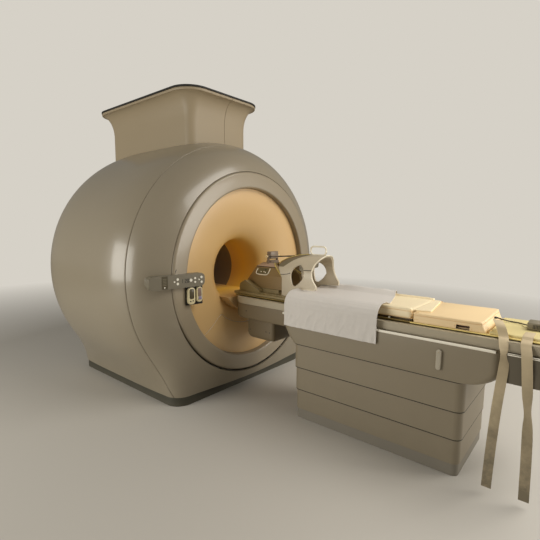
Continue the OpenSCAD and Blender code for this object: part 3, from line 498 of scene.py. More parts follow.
def lofted(name, rings, angle=35, caps=True):
    """Closed rings of points joined in order, with flat ends."""
    count = len(rings[0])
    faces = rows_faces(len(rings), count)
    if caps:
        faces += [range(count - 1, -1, -1), range((len(rings) - 1) * count, len(rings) * count)]
    obj = from_data(name, [p for ring in rings for p in ring], faces, angle)
    outwards(obj)
    return smooth(obj, angle)


def ring_loop(name, rings, angle=35):
    """Rings of points joined in order and back to the first, so that they enclose a wall."""
    obj = lofted(name, rings + [rings[0]], angle, caps=False)
    with editing(obj) as bm:
        bmesh.ops.remove_doubles(bm, verts=bm.verts, dist=MERGE)
    outwards(obj, None)
    return obj


def walled(name, rings, angle=35):
    """A ring loop, shaded smooth after its first and last ring have met."""
    return smooth(ring_loop(name, rings, angle), angle)


def strip(name, plan, inner, outer, low, high):
    """A strip with a square section that runs round a plan, drawn in by two depths."""
    return walled(name, [ring_at(plan(depth), z) for depth, z in
                         ((inner, high), (inner, low), (outer, low), (outer, high))])


def revolved(name, profile, around):
    """A closed outline in radius and place along the bore, turned about the bore's axis."""
    turns = np.linspace(0, 2 * math.pi, around, endpoint=False)
    points = [(r * math.sin(a), y, AXIS_Z + r * math.cos(a)) for a in turns for r, y in profile]
    n = len(profile)
    faces = [(i * n + j, i * n + (j + 1) % n, (i + 1) % around * n + (j + 1) % n, (i + 1) % around * n + j)
             for i in range(around) for j in range(n)]
    obj = from_data(name, points, faces)
    outwards(obj)
    return smooth(obj)


def prism(name, outline, y0, y1):
    """A closed block with an outline in X and Z, from one place along the bore to another."""
    n = len(outline)
    faces = [range(n), range(2 * n - 1, n - 1, -1)]
    faces += [(i, i + n, (i + 1) % n + n, (i + 1) % n) for i in range(n)]
    obj = from_data(name, [(x, y, z) for y in (y0, y1) for x, z in outline], faces)
    outwards(obj)
    return obj


def prism_across(name, outline, x0, x1):
    """A closed block with an outline in Y and Z, from one side to the other."""
    return lofted(name, [[(x, y, z) for y, z in outline] for x in (x0, x1)])


def copy_of(node, name, material, width, segments=2):
    """A merged, smooth copy of a CAD node, with small bevels, that stands for it."""
    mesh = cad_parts[node].data.copy()
    mesh.name = name
    obj = add_object(name, mesh)
    with editing(obj) as bm:
        bmesh.ops.remove_doubles(bm, verts=bm.verts, dist=MERGE)
        bmesh.ops.join_triangles(bm, faces=bm.faces, angle_face_threshold=0.01, angle_shape_threshold=3.1)
    if "custom_normal" in mesh.attributes:
        mesh.attributes.remove(mesh.attributes["custom_normal"])
    return stand(bevel(smooth(obj), width, segments), material, node)


MERGE = 0.00002
AXIS_Z = 1.055


# What Geometry Nodes grow: the flared mouth, bars along lines and screws on points

def geometry_group(name, inputs):
    return new_group("GeometryNodeTree", name, [("Geometry", "Geometry"), *inputs, ("Material", "Material")],
                     [("Geometry", "Geometry")])


def finish_tree(t, given, end, shape, soft=True):
    """Ends a geometry tree: instances made real, shaded smooth if asked and given their material."""
    real = t.wire("GeometryNodeRealizeInstances", Geometry=shape)
    if soft:
        real = t.wire("GeometryNodeSetShadeSmooth", Geometry=real)
    t.feed(end, Geometry=t.wire("GeometryNodeSetMaterial", Geometry=real, Material=given("Material")))
    return t.tree


def make_flare_tree():
    """A flared mouth with a tube behind it: a quarter ellipse turned about the bore's axis, with a wall."""
    t, given, end = geometry_group("flared_mouth", [
        ("Around", "Int", 180), ("Along", "Int", 81), ("Axis Height", "Float", AXIS_Z),
        ("Mouth Radius", "Float", 0.765), ("Tube Radius", "Float", 0.3), ("Mouth Place", "Float", -0.816),
        ("Flare Depth", "Float", 0.2), ("Tube Length", "Float", 0.345), ("Wall", "Float", 0.008),
        ("Flare Share", "Float", 0.8)])
    grid = t.node("GeometryNodeMeshGrid", Vertices_X=given("Along"), Vertices_Y=given("Around"))
    parts = t.node("ShaderNodeSeparateXYZ", Vector=Wire(t, grid.outputs["UV Map"]))
    along, turn = (Wire(t, parts.outputs[key]) for key in "XY")
    turn *= 2 * math.pi
    wall = t.math("GREATER_THAN", along, 0.5001) * t.math("LESS_THAN", along, 0.9999) * given("Wall")
    run = 1.0 - t.math("ABSOLUTE", along * 2.0 - 1.0)
    share = given("Flare Share")
    angle = t.math("MINIMUM", run / share, 1.0) * (math.pi / 2)
    rest = t.math("MAXIMUM", run - share, 0.0) / (1.0 - share)
    drop = given("Mouth Radius") - given("Tube Radius") - wall
    radius = given("Mouth Radius") - drop * t.math("SINE", angle)
    bend = given("Flare Depth") * (1.0 - t.math("COSINE", angle))
    inward = bend + given("Mouth Place") + rest * given("Tube Length")
    place = t.wire("ShaderNodeCombineXYZ", X=radius * t.math("SINE", turn),
                   Y=inward + wall * t.math("LESS_THAN", rest, 0.0001),
                   Z=given("Axis Height") - radius * t.math("COSINE", turn))
    move = t.wire("GeometryNodeSetPosition", Geometry=Wire(t, grid.outputs["Mesh"]), Position=place)
    joined = t.wire("GeometryNodeMergeByDistance", Geometry=move, Distance=0.0001)
    return finish_tree(t, given, end, joined, soft=False)


def make_bar_tree():
    """A round bar that follows a line, for rails, rims, handles, piping and leads."""
    t, given, end = geometry_group("round_bar", [
        ("Radius", "Float", 0.004), ("Sides", "Int", 10), ("Spacing", "Float", 0.01)])
    line = t.wire("GeometryNodeMeshToCurve", Mesh=given("Geometry"))
    soft = t.wire("GeometryNodeCurveSplineType", 0, {"spline_type": "CATMULL_ROM"}, Curve=line)
    even = t.wire("GeometryNodeResampleCurve", 0, {"mode": "LENGTH"}, Curve=soft, Length=given("Spacing"))
    ring = t.wire("GeometryNodeCurvePrimitiveCircle", Resolution=given("Sides"), Radius=given("Radius"))
    return finish_tree(t, given, end, t.wire("GeometryNodeCurveToMesh", Curve=even, Profile_Curve=ring,
                                             Fill_Caps=True))


def make_screw_tree():
    """Domed screw heads with a cross slot, one on each point of the seed, all facing one way."""
    t, given, end = geometry_group("screw_heads", [
        ("Radius", "Float", 0.005), ("Dome", "Float", 0.4), ("Facing", "Vector", (0, 0, 1))])
    head = t.wire("GeometryNodeMeshUVSphere", "Mesh", Segments=14, Rings=8, Radius=1.0)
    slot = t.wire("GeometryNodeMeshCube", "Mesh", Size=(1.3, 0.22, 0.9))
    slot = t.wire("GeometryNodeTransform", Geometry=slot, Translation=(0, 0, 1.1))
    bite = t.wire("GeometryNodeMeshBoolean", 0, {"operation": "DIFFERENCE"}, Mesh_1=head, Mesh_2=slot)
    size = t.wire("ShaderNodeCombineXYZ", X=given("Radius"), Y=given("Radius"),
                  Z=given("Radius") * given("Dome"))
    flat = t.wire("GeometryNodeTransform", Geometry=bite, Scale=size)
    turn = t.wire("FunctionNodeAlignRotationToVector", 0, {"axis": "Z"}, Vector=given("Facing"))
    return finish_tree(t, given, end, t.wire("GeometryNodeInstanceOnPoints", Points=given("Geometry"),
                                             Instance=flat, Rotation=turn))


def grown(name, tree, lines=(), closed=False, **values):
    """Runs a tree on lines of points, its inputs set by identifier, and gives a plain mesh object."""
    points, edges = [], []
    for line in lines:
        first = len(points)
        points += [tuple(p) for p in line]
        edges += [(first + i, first + i + 1) for i in range(len(line) - 1)]
        if closed:
            edges.append((len(points) - 1, first))
    mesh = bpy.data.meshes.new(name)
    mesh.from_pydata(points, edges, [])
    obj = add_object(name, mesh)
    modifier = obj.modifiers.new("grow", "NODES")
    modifier.node_group = tree
    for item in tree.interface.items_tree:
        if item.in_out == "INPUT" and item.name in values:
            modifier[item.identifier] = values[item.name]
    apply_modifiers(obj)
    obj.data.name = name
    return obj


BAR_TREE = make_bar_tree()
SCREW_TREE = make_screw_tree()


def bar(name, lines, radius, material, node, closed=False, sides=10, spacing=0.01):
    """Round bars along lines of points."""
    obj = grown(name, BAR_TREE, lines, closed, Radius=radius, Sides=sides, Spacing=spacing,
                Material=MATERIALS[material])
    outwards(obj, None)
    return give(smooth(obj, 50), None, node)


def screws(name, places, facing, radius, material, node, dome=0.4):
    give(grown(name, SCREW_TREE, [[p] for p in places], Radius=radius, Dome=dome, Facing=facing,
               Material=MATERIALS[material]), None, node)


# The magnet's cover, a rounded barrel blended into its base

BARREL_R = 1.22
BARREL_HALF = 0.973
BARREL_MID = 0.05
BARREL_POWER = 4.5
RING_R = 0.915
SEAM_Y = -0.63
SHELL_GAP = 0.005
COVER_FLOOR = 0.075
BASE_HALF = (0.85, 0.81)
BASE_CORNER = 0.13
BASE_BLEND = 0.17
BASE_Z = (-0.25, 0.6)
EDGE_REACH = BARREL_HALF * (1 - (RING_R / BARREL_R) ** BARREL_POWER) ** (1 / BARREL_POWER)
FRONT_EDGE = BARREL_MID - EDGE_REACH
REAR_EDGE = BARREL_MID + EDGE_REACH
COVER_AROUND = 300


def barrel_radius(y):
    return BARREL_R * (1 - (abs(y - BARREL_MID) / BARREL_HALF) ** BARREL_POWER) ** (1 / BARREL_POWER)


def barrel_rows(count):
    """Places along the bore and radii of the barrel's side line, evenly spread over its curve."""
    end = math.asin((EDGE_REACH / BARREL_HALF) ** (BARREL_POWER / 2))
    angles = np.linspace(-end, end, count)
    reach = np.sign(angles) * np.abs(np.sin(angles)) ** (2 / BARREL_POWER)
    return BARREL_MID + BARREL_HALF * reach, BARREL_R * np.cos(angles) ** (2 / BARREL_POWER)


def cover_distance(p):
    """How far points lie from the barrel joined to its base with a soft hollow curve, roughly in metres."""
    x, y, z = p[..., 0], p[..., 1], p[..., 2]
    u = np.abs(y - BARREL_MID) / BARREL_HALF
    v = np.hypot(x, z - AXIS_Z) / BARREL_R
    value = u ** BARREL_POWER + v ** BARREL_POWER - 1
    slope = BARREL_POWER * np.hypot(u ** (BARREL_POWER - 1) / BARREL_HALF, v ** (BARREL_POWER - 1) / BARREL_R)
    barrel = value / np.maximum(slope, 0.4)
    qx = np.abs(x) - (BASE_HALF[0] - BASE_CORNER)
    qy = np.abs(y) - (BASE_HALF[1] - BASE_CORNER)
    outside = np.hypot(np.maximum(qx, 0), np.maximum(qy, 0))
    plan = outside + np.minimum(np.maximum(qx, qy), 0) - BASE_CORNER
    block = np.maximum(plan, np.maximum(z - BASE_Z[1], BASE_Z[0] - z))
    blend = np.maximum(BASE_BLEND - np.abs(barrel - block), 0) / BASE_BLEND
    return np.minimum(barrel, block) - blend * blend * BASE_BLEND / 4


def cover_points(ys, rs):
    """The cover's outer surface as a grid, found along rays from a point low inside it."""
    centre = np.array([0.0, BARREL_MID, 0.5])
    angles = np.linspace(0, 2 * math.pi, COVER_AROUND, endpoint=False) + math.pi / COVER_AROUND
    grid = np.zeros((len(ys), COVER_AROUND, 3))
    grid[..., 0] = rs[:, None] * np.sin(angles)[None, :]
    grid[..., 1] = ys[:, None]
    grid[..., 2] = AXIS_Z - rs[:, None] * np.cos(angles)[None, :]
    ray = grid - centre
    far = np.linalg.norm(ray, axis=-1, keepdims=True)
    ray /= far
    low = far[..., 0] * 0.995
    high = np.full_like(low, 2.6)
    for _ in range(44):
        middle = (low + high) / 2
        inside = cover_distance(centre + ray * middle[..., None]) < 0
        low, high = np.where(inside, middle, low), np.where(inside, high, middle)
    return centre + ray * high[..., None]


def cover_normals(p):
    out = np.zeros_like(p)
    for axis, shift in enumerate(np.eye(3) * 0.0005):
        out[..., axis] = cover_distance(p + shift) - cover_distance(p - shift)
    return out / np.linalg.norm(out, axis=-1, keepdims=True)


def in_turret(p):
    """Whether a place on the cover lies under the turret, where the cover is open."""
    return p.z > 1.9 and abs(p.x) < 0.3 and -0.36 < p.y < 0.84


def make_cover(name, node, lead):
    """The cover on one side of the ring-shaped seam, with both open edges turned inwards."""
    ys, rs = barrel_rows(120)
    edge = SEAM_Y + lead * SHELL_GAP / 2
    keep = (ys - edge) * lead > 0.004
    first = 0 if lead > 0 else np.count_nonzero(keep)
    outer = cover_points(np.insert(ys[keep], first, edge), np.insert(rs[keep], first, barrel_radius(edge)))
    normals = cover_normals(outer)
    rows = list(outer)
    for end, way in ((0, -1), (len(outer) - 1, 1)):
        for along, down in ((0.0012, 0.0012), (0.0018, 0.005), (0.0018, 0.018)):
            turned = outer[end] - normals[end] * down
            turned[:, 1] += along * way
            rows.insert(len(rows) if way > 0 else 0, turned)
    bm = bmesh.new()
    verts = [bm.verts.new(p) for p in np.array(rows).reshape(-1, 3)]
    for face in rows_faces(len(rows), COVER_AROUND):
        bm.faces.new([verts[i] for i in face])
    bmesh.ops.bisect_plane(bm, geom=bm.verts[:] + bm.edges[:] + bm.faces[:], plane_co=(0, 0, COVER_FLOOR),
                           plane_no=(0, 0, -1), clear_outer=True)
    if lead > 0:
        hole = [f for f in bm.faces if in_turret(f.calc_center_median())]
        bmesh.ops.delete(bm, geom=hole, context="FACES")
    bmesh.ops.recalc_face_normals(bm, faces=bm.faces)
    if max(bm.faces, key=lambda f: f.calc_center_median().x).normal.x < 0:
        bmesh.ops.reverse_faces(bm, faces=bm.faces)
    stand(from_bmesh(name, bm, 50), "shell_gloss", node)


# The mouth: flare, access panel, ring and rear cover

APRON_R = 0.484
ACCESS_SHOULDER = [(0.568, 0.548), (0.448, 0.623), (0.372, 0.676), (0.329, 0.692), (0.286, 0.676)]
DISC_R = 0.767
DISC_Y = FRONT_EDGE + 0.04
RING_PROUD = 0.015
RING_GAP = 0.005
BORE_R = 0.3
BORE_WALL = 0.008


def under_arc(radius, z, count, gap=0.0):
    """The lower part of a circle about the bore's axis, below a height, from right to left."""
    side = math.degrees(math.asin((AXIS_Z - z) / radius))
    return arc((0, AXIS_Z), radius - gap, -side, -180 + side, count)


def access_outline(gap):
    """The panel under the bore: two rounded shoulders with a round cut between them, in X and Z."""
    right = [(0.83, 0.0), (0.83, 0.36)] + [(x, z + gap) for x, z in ACCESS_SHOULDER]
    return right + under_arc(APRON_R, right[-1][1], 30, gap) + [(-x, z) for x, z in reversed(right)]


def make_mouth():
    tree = make_flare_tree()
    for name, node, gap, way in (("mouth_flare", "front_flare", 0.0015, "DIFFERENCE"),
                                 ("mouth_access_panel", "lower_access_panel", -0.0015, "INTERSECT")):
        piece = grown(name, tree, Material=MATERIALS["mouth_painted_light"])
        outwards(piece)
        cut(piece, prism("access_cutter", access_outline(gap), -0.9, -0.6), way)
        if way == "DIFFERENCE":
            cut(piece, prism("bridge_cutter", under_arc(0.3585, 0.846, 48), -0.9, -0.6165))
        stand(smooth(piece, 40), None, node)


def face_ring_profile():
    """The flat ring around the mouth: rounded at its outer and inner edge."""
    face = FRONT_EDGE - RING_PROUD
    outer, inner = RING_R - RING_GAP, DISC_R
    points = [(outer - 0.018, FRONT_EDGE + 0.018), (outer, FRONT_EDGE + 0.014)]
    points += arc((outer - 0.022, face + 0.022), 0.022, 0, -90, 8)
    points += arc((inner + 0.016, face + 0.016), 0.016, 270, 180, 8)
    return points + [(inner, DISC_Y + 0.0085), (inner + 0.008, DISC_Y + 0.0085),
                     (inner + 0.008, FRONT_EDGE + 0.018)]


def rear_cover_profile():
    """The plain ring and flare around the bore's rear mouth."""
    steps, depth, tube = 24, 0.2, REAR_EDGE - 0.2

    def flare(start, end, wall):
        return [(DISC_R - (DISC_R - BORE_R - wall) * math.sin(a), tube - wall + depth * math.cos(a))
                for a in np.linspace(start, end, steps)]

    return ([(RING_R - 0.03, REAR_EDGE - 0.02), (RING_R - 0.004, REAR_EDGE - 0.02)]
            + arc((RING_R - 0.026, REAR_EDGE - 0.01), 0.022, 0, 90, 8) + flare(0, math.pi / 2, 0)
            + [(BORE_R + BORE_WALL, tube)] + flare(math.pi / 2 - 0.1, 0, BORE_WALL))


# The turret

TURRET_HALF = 0.37
TURRET_Y = (-0.44, 0.93)
TURRET_CORNER = 0.09
TURRET_TOP = 2.68
TURRET_FOOT = 1.86
TURRET_SEAM_X = 0.05
LIP_REACH = 0.12
LIP_H = 0.22
LIP_EDGE = 0.022
SEAL_H = 0.016


def turret_plan(grow, tighter=0.0):
    return rounded_plan(TURRET_HALF + grow, TURRET_Y[0] - grow, TURRET_Y[1] + grow,
                        TURRET_CORNER + grow - tighter, 14)


def make_turret():
    """The service turret: straight walls that flare out into a lip at the top, in two halves."""
    lip = TURRET_TOP - LIP_EDGE
    wall = [(0.0, TURRET_FOOT), (0.0, lip - LIP_H)]
    wall += [(LIP_REACH * (1 - math.cos(a)), lip - LIP_H + LIP_H * math.sin(a))
             for a in np.linspace(0.1, 1.45, 12)]
    wall += [(LIP_REACH - 0.004, lip - 0.001), (LIP_REACH, lip + 0.006), (LIP_REACH, TURRET_TOP - 0.006),
             (LIP_REACH - 0.005, TURRET_TOP)]
    for side, end in ((-1, "left"), (1, "right")):
        obj = lofted("turret_%s_cover" % end, [ring_at(turret_plan(d), z) for d, z in wall], 40, caps=False)
        with editing(obj) as bm:
            bmesh.ops.bisect_plane(bm, geom=bm.verts[:] + bm.edges[:] + bm.faces[:], clear_outer=True,
                                   plane_co=(TURRET_SEAM_X + side * 0.0015, 0, 0), plane_no=(-side, 0, 0))
        outwards(obj, (0, 0.25, 2.3))
        thick = smooth(obj, 40).modifiers.new("wall", "SOLIDIFY")
        thick.thickness, thick.offset = 0.008, -1
        stand(bevel(obj, 0.0012, 2, 50), "turret_paint", "turret_" + end)
    outer, inner = (turret_plan(LIP_REACH + 0.003 - depth, 0.003) for depth in (0.0, 0.023))
    seal = ring_loop("turret_seal_strip", [ring_at(inner, TURRET_TOP), ring_at(outer, TURRET_TOP),
                                           ring_at(outer, TURRET_TOP + SEAL_H),
                                           ring_at(inner, TURRET_TOP + SEAL_H)])
    stand(bevel(seal, 0.003), "seal_rubber_and_seam_shade", "turret_seal")


make_cover("front_shell_cover", "front_shell", -1)
make_cover("body_shell_cover", "body_shell", 1)
stand(revolved("face_ring_cover", face_ring_profile(), 220), "ring_gloss", "face_ring")
make_mouth()
LINER = [(BORE_R, -0.2712), (BORE_R, 0.7562), (BORE_R + BORE_WALL, 0.7562), (BORE_R + BORE_WALL, -0.2712)]
stand(revolved("bore_tube", LINER, 160), "liner_painted_shade", "bore_liner")
copy_of("bore_bridge", "bore_table_bridge", "mouth_painted_light", 0.003)
stand(revolved("rear_mouth_cover", rear_cover_profile(), 160), "shell_gloss", "rear_cover")
make_turret()
copy_of("skirting", "magnet_skirting", "skirting_vinyl", 0.001)
for material, nodes in (("inner_steel", "vacuum_vessel helium_vessel quench_pipe"),
                        ("inner_aluminium", "thermal_shield cold_head lift_middle lift_inner"),
                        ("inner_copper", "main_coils body_coil"), ("inner_resin", "gradient_coil"),
                        ("inner_dark", "base_frame lift_outer table_drive table_plate")):
    for node in nodes.split():
        paint(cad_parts[node], material)


# The operator panels beside the mouth

PANEL_ORIGIN = (-1.115, -0.8652, 1.06)
PANEL_TURN = math.radians(8)
DIGIT_BARS = {"2": "abged", "0": "abcdef"}
DIGIT_SIZE = (0.0145, 0.03, 0.0042)
DIGIT_SPACE = 0.005
HANDSET_LAYERS = [(0.004, -0.026), (0.001, -0.024), (0, -0.021), (0, -0.008), (0.001, -0.005),
                  (0.003, -0.003), (0.006, -0.002)]


def panel_point(u, v, w, side=-1):
    """A place on an operator panel: along it, up it and out of it."""
    x = PANEL_ORIGIN[0] + u * math.cos(PANEL_TURN) - w * math.sin(PANEL_TURN)
    y = PANEL_ORIGIN[1] - u * math.sin(PANEL_TURN) - w * math.cos(PANEL_TURN)
    return (-side * x, y, PANEL_ORIGIN[2] + v)


def panel_block(name, centre, half, corner, layers, material, node="handsets", side=-1, steps=8):
    """A rounded block on an operator panel, from layers of inset and height."""
    rings = []
    for inset, w in layers:
        plan = rounded_plan(half[0] - inset, inset - half[1], half[1] - inset,
                            max(corner - inset, 0.0004), steps)
        rings.append([panel_point(centre[0] + a, centre[1] + b, w, side) for a, b in plan])
    return give(lofted(name, rings), material, node)


def panel_bars(name, bars, w0, w1, material, node, side):
    """Small raised bars on an operator panel, all in one piece."""
    points, faces = [], []
    for u0, u1, v0, v1 in bars:
        n = len(points)
        corners = ((u0, v0), (u1, v0), (u1, v1), (u0, v1))
        points += [panel_point(u, v, w, side) for w in (w0, w1) for u, v in corners]
        faces += [(n, n + 1, n + 2, n + 3), (n + 7, n + 6, n + 5, n + 4)]
        faces += [(n + i, n + 4 + i, n + 4 + (i + 1) % 4, n + (i + 1) % 4) for i in range(4)]
    obj = from_data(name, points, faces)
    outwards(obj, None)
    give(obj, material, node)


def digit_bars(text, u, v):
    """The lit bars of a display's digits."""
    bars = []
    width, height, thick = DIGIT_SIZE
    half = height / 2
    for number, letter in enumerate(text):
        a = u + number * (width + DIGIT_SPACE)
        b = a + width
        places = {"a": (a, b, v + half - thick, v + half), "g": (a, b, v - thick / 2, v + thick / 2),
                  "d": (a, b, v - half, v - half + thick), "f": (a, a + thick, v, v + half),
                  "b": (b - thick, b, v, v + half), "e": (a, a + thick, v - half, v),
                  "c": (b - thick, b, v - half, v)}
        bars += [places[key] for key in DIGIT_BARS[letter]]
    return bars


def make_panel(side, end):
    """A panel's case with its display, its number window and its printed marks."""
    node = "operator_panel_" + end
    copy_of(node, node + "_case", "panel_plastic", 0.003, 3)
    panel_block("display_glass_" + end, (0.127, 0), (0.0246, 0.0472), 0.003,
                [(0, -0.003), (0, -0.0006), (0.0005, -0.0002)], "display_dark", node, side, 3)
    rows = [(0.113, 0.141, v - 0.0022, v + 0.0022) for v in (0.026, 0.015, 0.004, -0.007, -0.018)]
    panel_bars("display_rows_" + end, rows, -0.0003, 0.0003, "display_pale", node, side)
    panel_block("display_lamp_" + end, (0.126, -0.036), (0.006, 0.0045), 0.0044,
                [(0, -0.0003), (0.0006, 0.0006)], "button_white", node, side)
    panel_block("number_window_" + end, (0.313, 0), (0.0206, 0.0186), 0.002,
                [(0, -0.003), (0, -0.0008), (0.0004, -0.0004)], "panel_plastic", node, side, 3)
    panel_bars("number_" + end, digit_bars("20", 0.2955, 0.0), -0.0006, 0.0002, "dark_plastic", node, side)
    marks = [(0.2735, 0.2775, -0.016, 0.016), (0.4, 0.4035, -0.014, -0.006), (0.4285, 0.434, 0.008, 0.014),
             (0.4285, 0.434, -0.012, -0.006)]
    panel_bars("panel_marks_" + end, marks, -0.0005, 0.0002, "dark_plastic", node, side)


def make_handset(name, u, width, height, inset, keys):
    """A hand-held unit that hangs in the holder, with a window and round keys."""
    v = -0.058 - height / 2
    unit = panel_block(name, (u, v), (width / 2, height / 2), width * 0.45, HANDSET_LAYERS, "handset_cream")
    if name == "handset_long":
        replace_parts(unit, "handsets")
    panel_block(name + "_window", (u, v + 0.018), (width * 0.31, height * 0.3), width * 0.2,
                [(0, -0.0025), (0.0004, -0.0012), (0.0016, -0.0008)], inset)
    for number, (across, down) in enumerate(keys, 1):
        panel_block("%s_key_%d" % (name, number), (u + width * across, v - height * down), (0.0055, 0.0055),
                    0.0054, [(0, -0.003), (0, -0.0014), (0.001, -0.0006)], "dark_plastic")


make_panel(-1, "left")
make_panel(1, "right")
for number in range(1, 10):
    copy_of("button_%d" % number, "panel_button_%d" % number, "button_white", 0.0015, 3)
copy_of("handset_holder", "handset_holder_back", "dark_plastic", 0.002)
make_handset("handset_long", 0.355, 0.066, 0.136, "display_dark", ((-0.17, 0.3), (0.17, 0.28)))
make_handset("handset_short", 0.427, 0.054, 0.122, "handset_mauve", ((-0.17, 0.3),))
panel_block("handset_short_key", (0.43, -0.148), (0.014, 0.013), 0.003,
            [(0, -0.003), (0.0004, -0.0004), (0.0012, -0.0001)], "key_violet")
# A short dark bar rising from the left panel's top and leaning right: painted shade.
DARK_STREAK = [(0.226, 0.046, -0.03), (0.227, 0.06, -0.03), (0.232, 0.075, -0.029), (0.24, 0.09, -0.03)]
bar("panel_dark_streak", [[panel_point(*p) for p in DARK_STREAK]], 0.004, "dark_plastic", "operator_panel_left")

# The table

TABLE_HALF = 0.323
TABLE_Y = (-2.8, -1.56)
TABLE_CORNER = 0.06
TIERS = (("lower", 3, 0.075, 0.261), ("third", 2, 0.231, 0.436), ("second", 1, 0.406, 0.619))
TIER_WALL = 0.0044
TIER_STEP = 0.005
SHOULDER_Z = 0.815
SHOULDER_R = 0.014
UPPER_LOW_Z = 0.589
STERN_REACH = 0.178
STERN_H = 0.128
BOW_REACH = 0.1
BOW_H = 0.155
BOW_POWER = 1.35
FRAME_HALF = 0.29
NOSE_FRONT = -0.8265
NOSE_BEND = -1.04
NOSE_POWER = 2.5
NOSE_BACK = -1.4597
FRAME_END = -3.145
BAND_Z = (0.822, 0.872)
TRAY_Z = 0.846
FOOT_Y = -2.984
DOCK_LOW_Z = 0.512
LEVER_PIVOT = (-2.65, 0.752)
LEVER_R = 0.015


def tier_plan(k, depth):
    """Plan of the telescoping cover number k, drawn in by a depth."""
    grow = k * TIER_STEP
    return rounded_plan(TABLE_HALF - grow - depth, TABLE_Y[0] + grow + depth, TABLE_Y[1] - 0.01 * k - depth,
                        TABLE_CORNER - grow - depth, 12)


def upper_plan(z, depth):
    """Plan of the upper cover at a height: its ends reach out over the covers below."""
    low, rise = (min(max((z - UPPER_LOW_Z) / height, 0.0), 1.0) for height in (STERN_H, BOW_H))
    stern = TABLE_Y[0] - STERN_REACH * math.sqrt(1 - (1 - low) ** 2)
    bow = TABLE_Y[1] + BOW_REACH * (1 - (1 - rise) ** BOW_POWER) ** (1 / BOW_POWER)
    return rounded_plan(TABLE_HALF - depth, stern + depth, bow - depth, TABLE_CORNER - depth, 12)


def make_upper_cover():
    heights = [UPPER_LOW_Z + STERN_H * (1 - math.cos(a)) for a in np.linspace(0.08, math.pi / 2, 14)]
    heights += [0.73, 0.744, SHOULDER_Z - SHOULDER_R]
    rings = [ring_at(upper_plan(z, TIER_WALL), z) for z in reversed(heights)]
    rings += [ring_at(upper_plan(UPPER_LOW_Z, 0.001), UPPER_LOW_Z)]
    rings += [ring_at(upper_plan(z, 0), z) for z in heights]
    rings += [ring_at(upper_plan(SHOULDER_Z, SHOULDER_R * (1 - math.cos(a))),
                      SHOULDER_Z - SHOULDER_R * (1 - math.sin(a))) for a in np.linspace(0.3, math.pi / 2, 5)]
    rings += [ring_at(upper_plan(SHOULDER_Z, 0.05), SHOULDER_Z - 0.0002)]
    stand(lofted("table_cover_upper", rings, 40), "table_paint", "cover_upper")


def make_tiers():
    """The three lower covers, dark strips along the covers' lower edges that paint the shade in the seams,
    and the kick strip.
    """
    for end, k, low, high in TIERS:
        rings = [ring_at(tier_plan(k, depth), z) for depth, z in
                 ((TIER_WALL, high), (TIER_WALL, low), (0.0015, low), (0, low + 0.0015), (0, high))]
        stand(walled("table_cover_" + end, rings), "table_paint", "cover_" + end)
    # Dark strips under the lower edges of the upper, second and third covers: painted shade in the seams
    # between the covers.
    for end, plan, z in (("upper", lambda depth: upper_plan(UPPER_LOW_Z, depth), UPPER_LOW_Z),
                         ("second", lambda depth: tier_plan(1, depth), 0.406),
                         ("third", lambda depth: tier_plan(2, depth), 0.231)):
        give(strip("table_seam_shade_" + end, plan, 0.0042, 0.0006, z - 0.0045, z - 0.0002), "seal_rubber_and_seam_shade",
             "cover_" + end)
    stand(strip("table_kick_strip", lambda depth: tier_plan(3, depth), 0.014, 0.006, 0.0, 0.075),
          "kick_vinyl", "kick_strip")


def nose_plan(half, back, front=NOSE_FRONT, steps=24):
    """Plan of the docked end: a blunt rounded bow carried back to a place along the bore."""
    points = [(half, back)]
    for i in range(2 * steps + 1):
        a = math.pi * i / (2 * steps)
        x, y = math.cos(a), max(math.sin(a), 0.0)
        points.append((half * math.copysign(abs(x) ** (2 / NOSE_POWER), x),
                       NOSE_BEND + (front - NOSE_BEND) * y ** (2 / NOSE_POWER)))
    return points + [(-half, back)]


def make_frame():
    """The long frame with the tray that the tabletop slides in."""
    outline = nose_plan(FRAME_HALF, FRAME_END)
    recess = nose_plan(FRAME_HALF - 0.006, FRAME_END + 0.004, NOSE_FRONT - 0.006)
    long_frame = lofted("table_long_frame", [
        ring_at(recess, SHOULDER_Z), ring_at(recess, BAND_Z[0]),
        ring_at(outline, BAND_Z[0] + 0.0004), ring_at(outline, BAND_Z[1])])
    right = [(0.208, TRAY_Z), (0.253, 0.8665), (0.253, 0.88)]
    cut(long_frame, prism("tray_cutter", [(-x, z) for x, z in right[::-1]] + right, FRAME_END - 0.01,
                          NOSE_FRONT + 0.01))
    stand(bevel(smooth(long_frame), 0.003, 3, 40), "frame_grey", "table_frame")


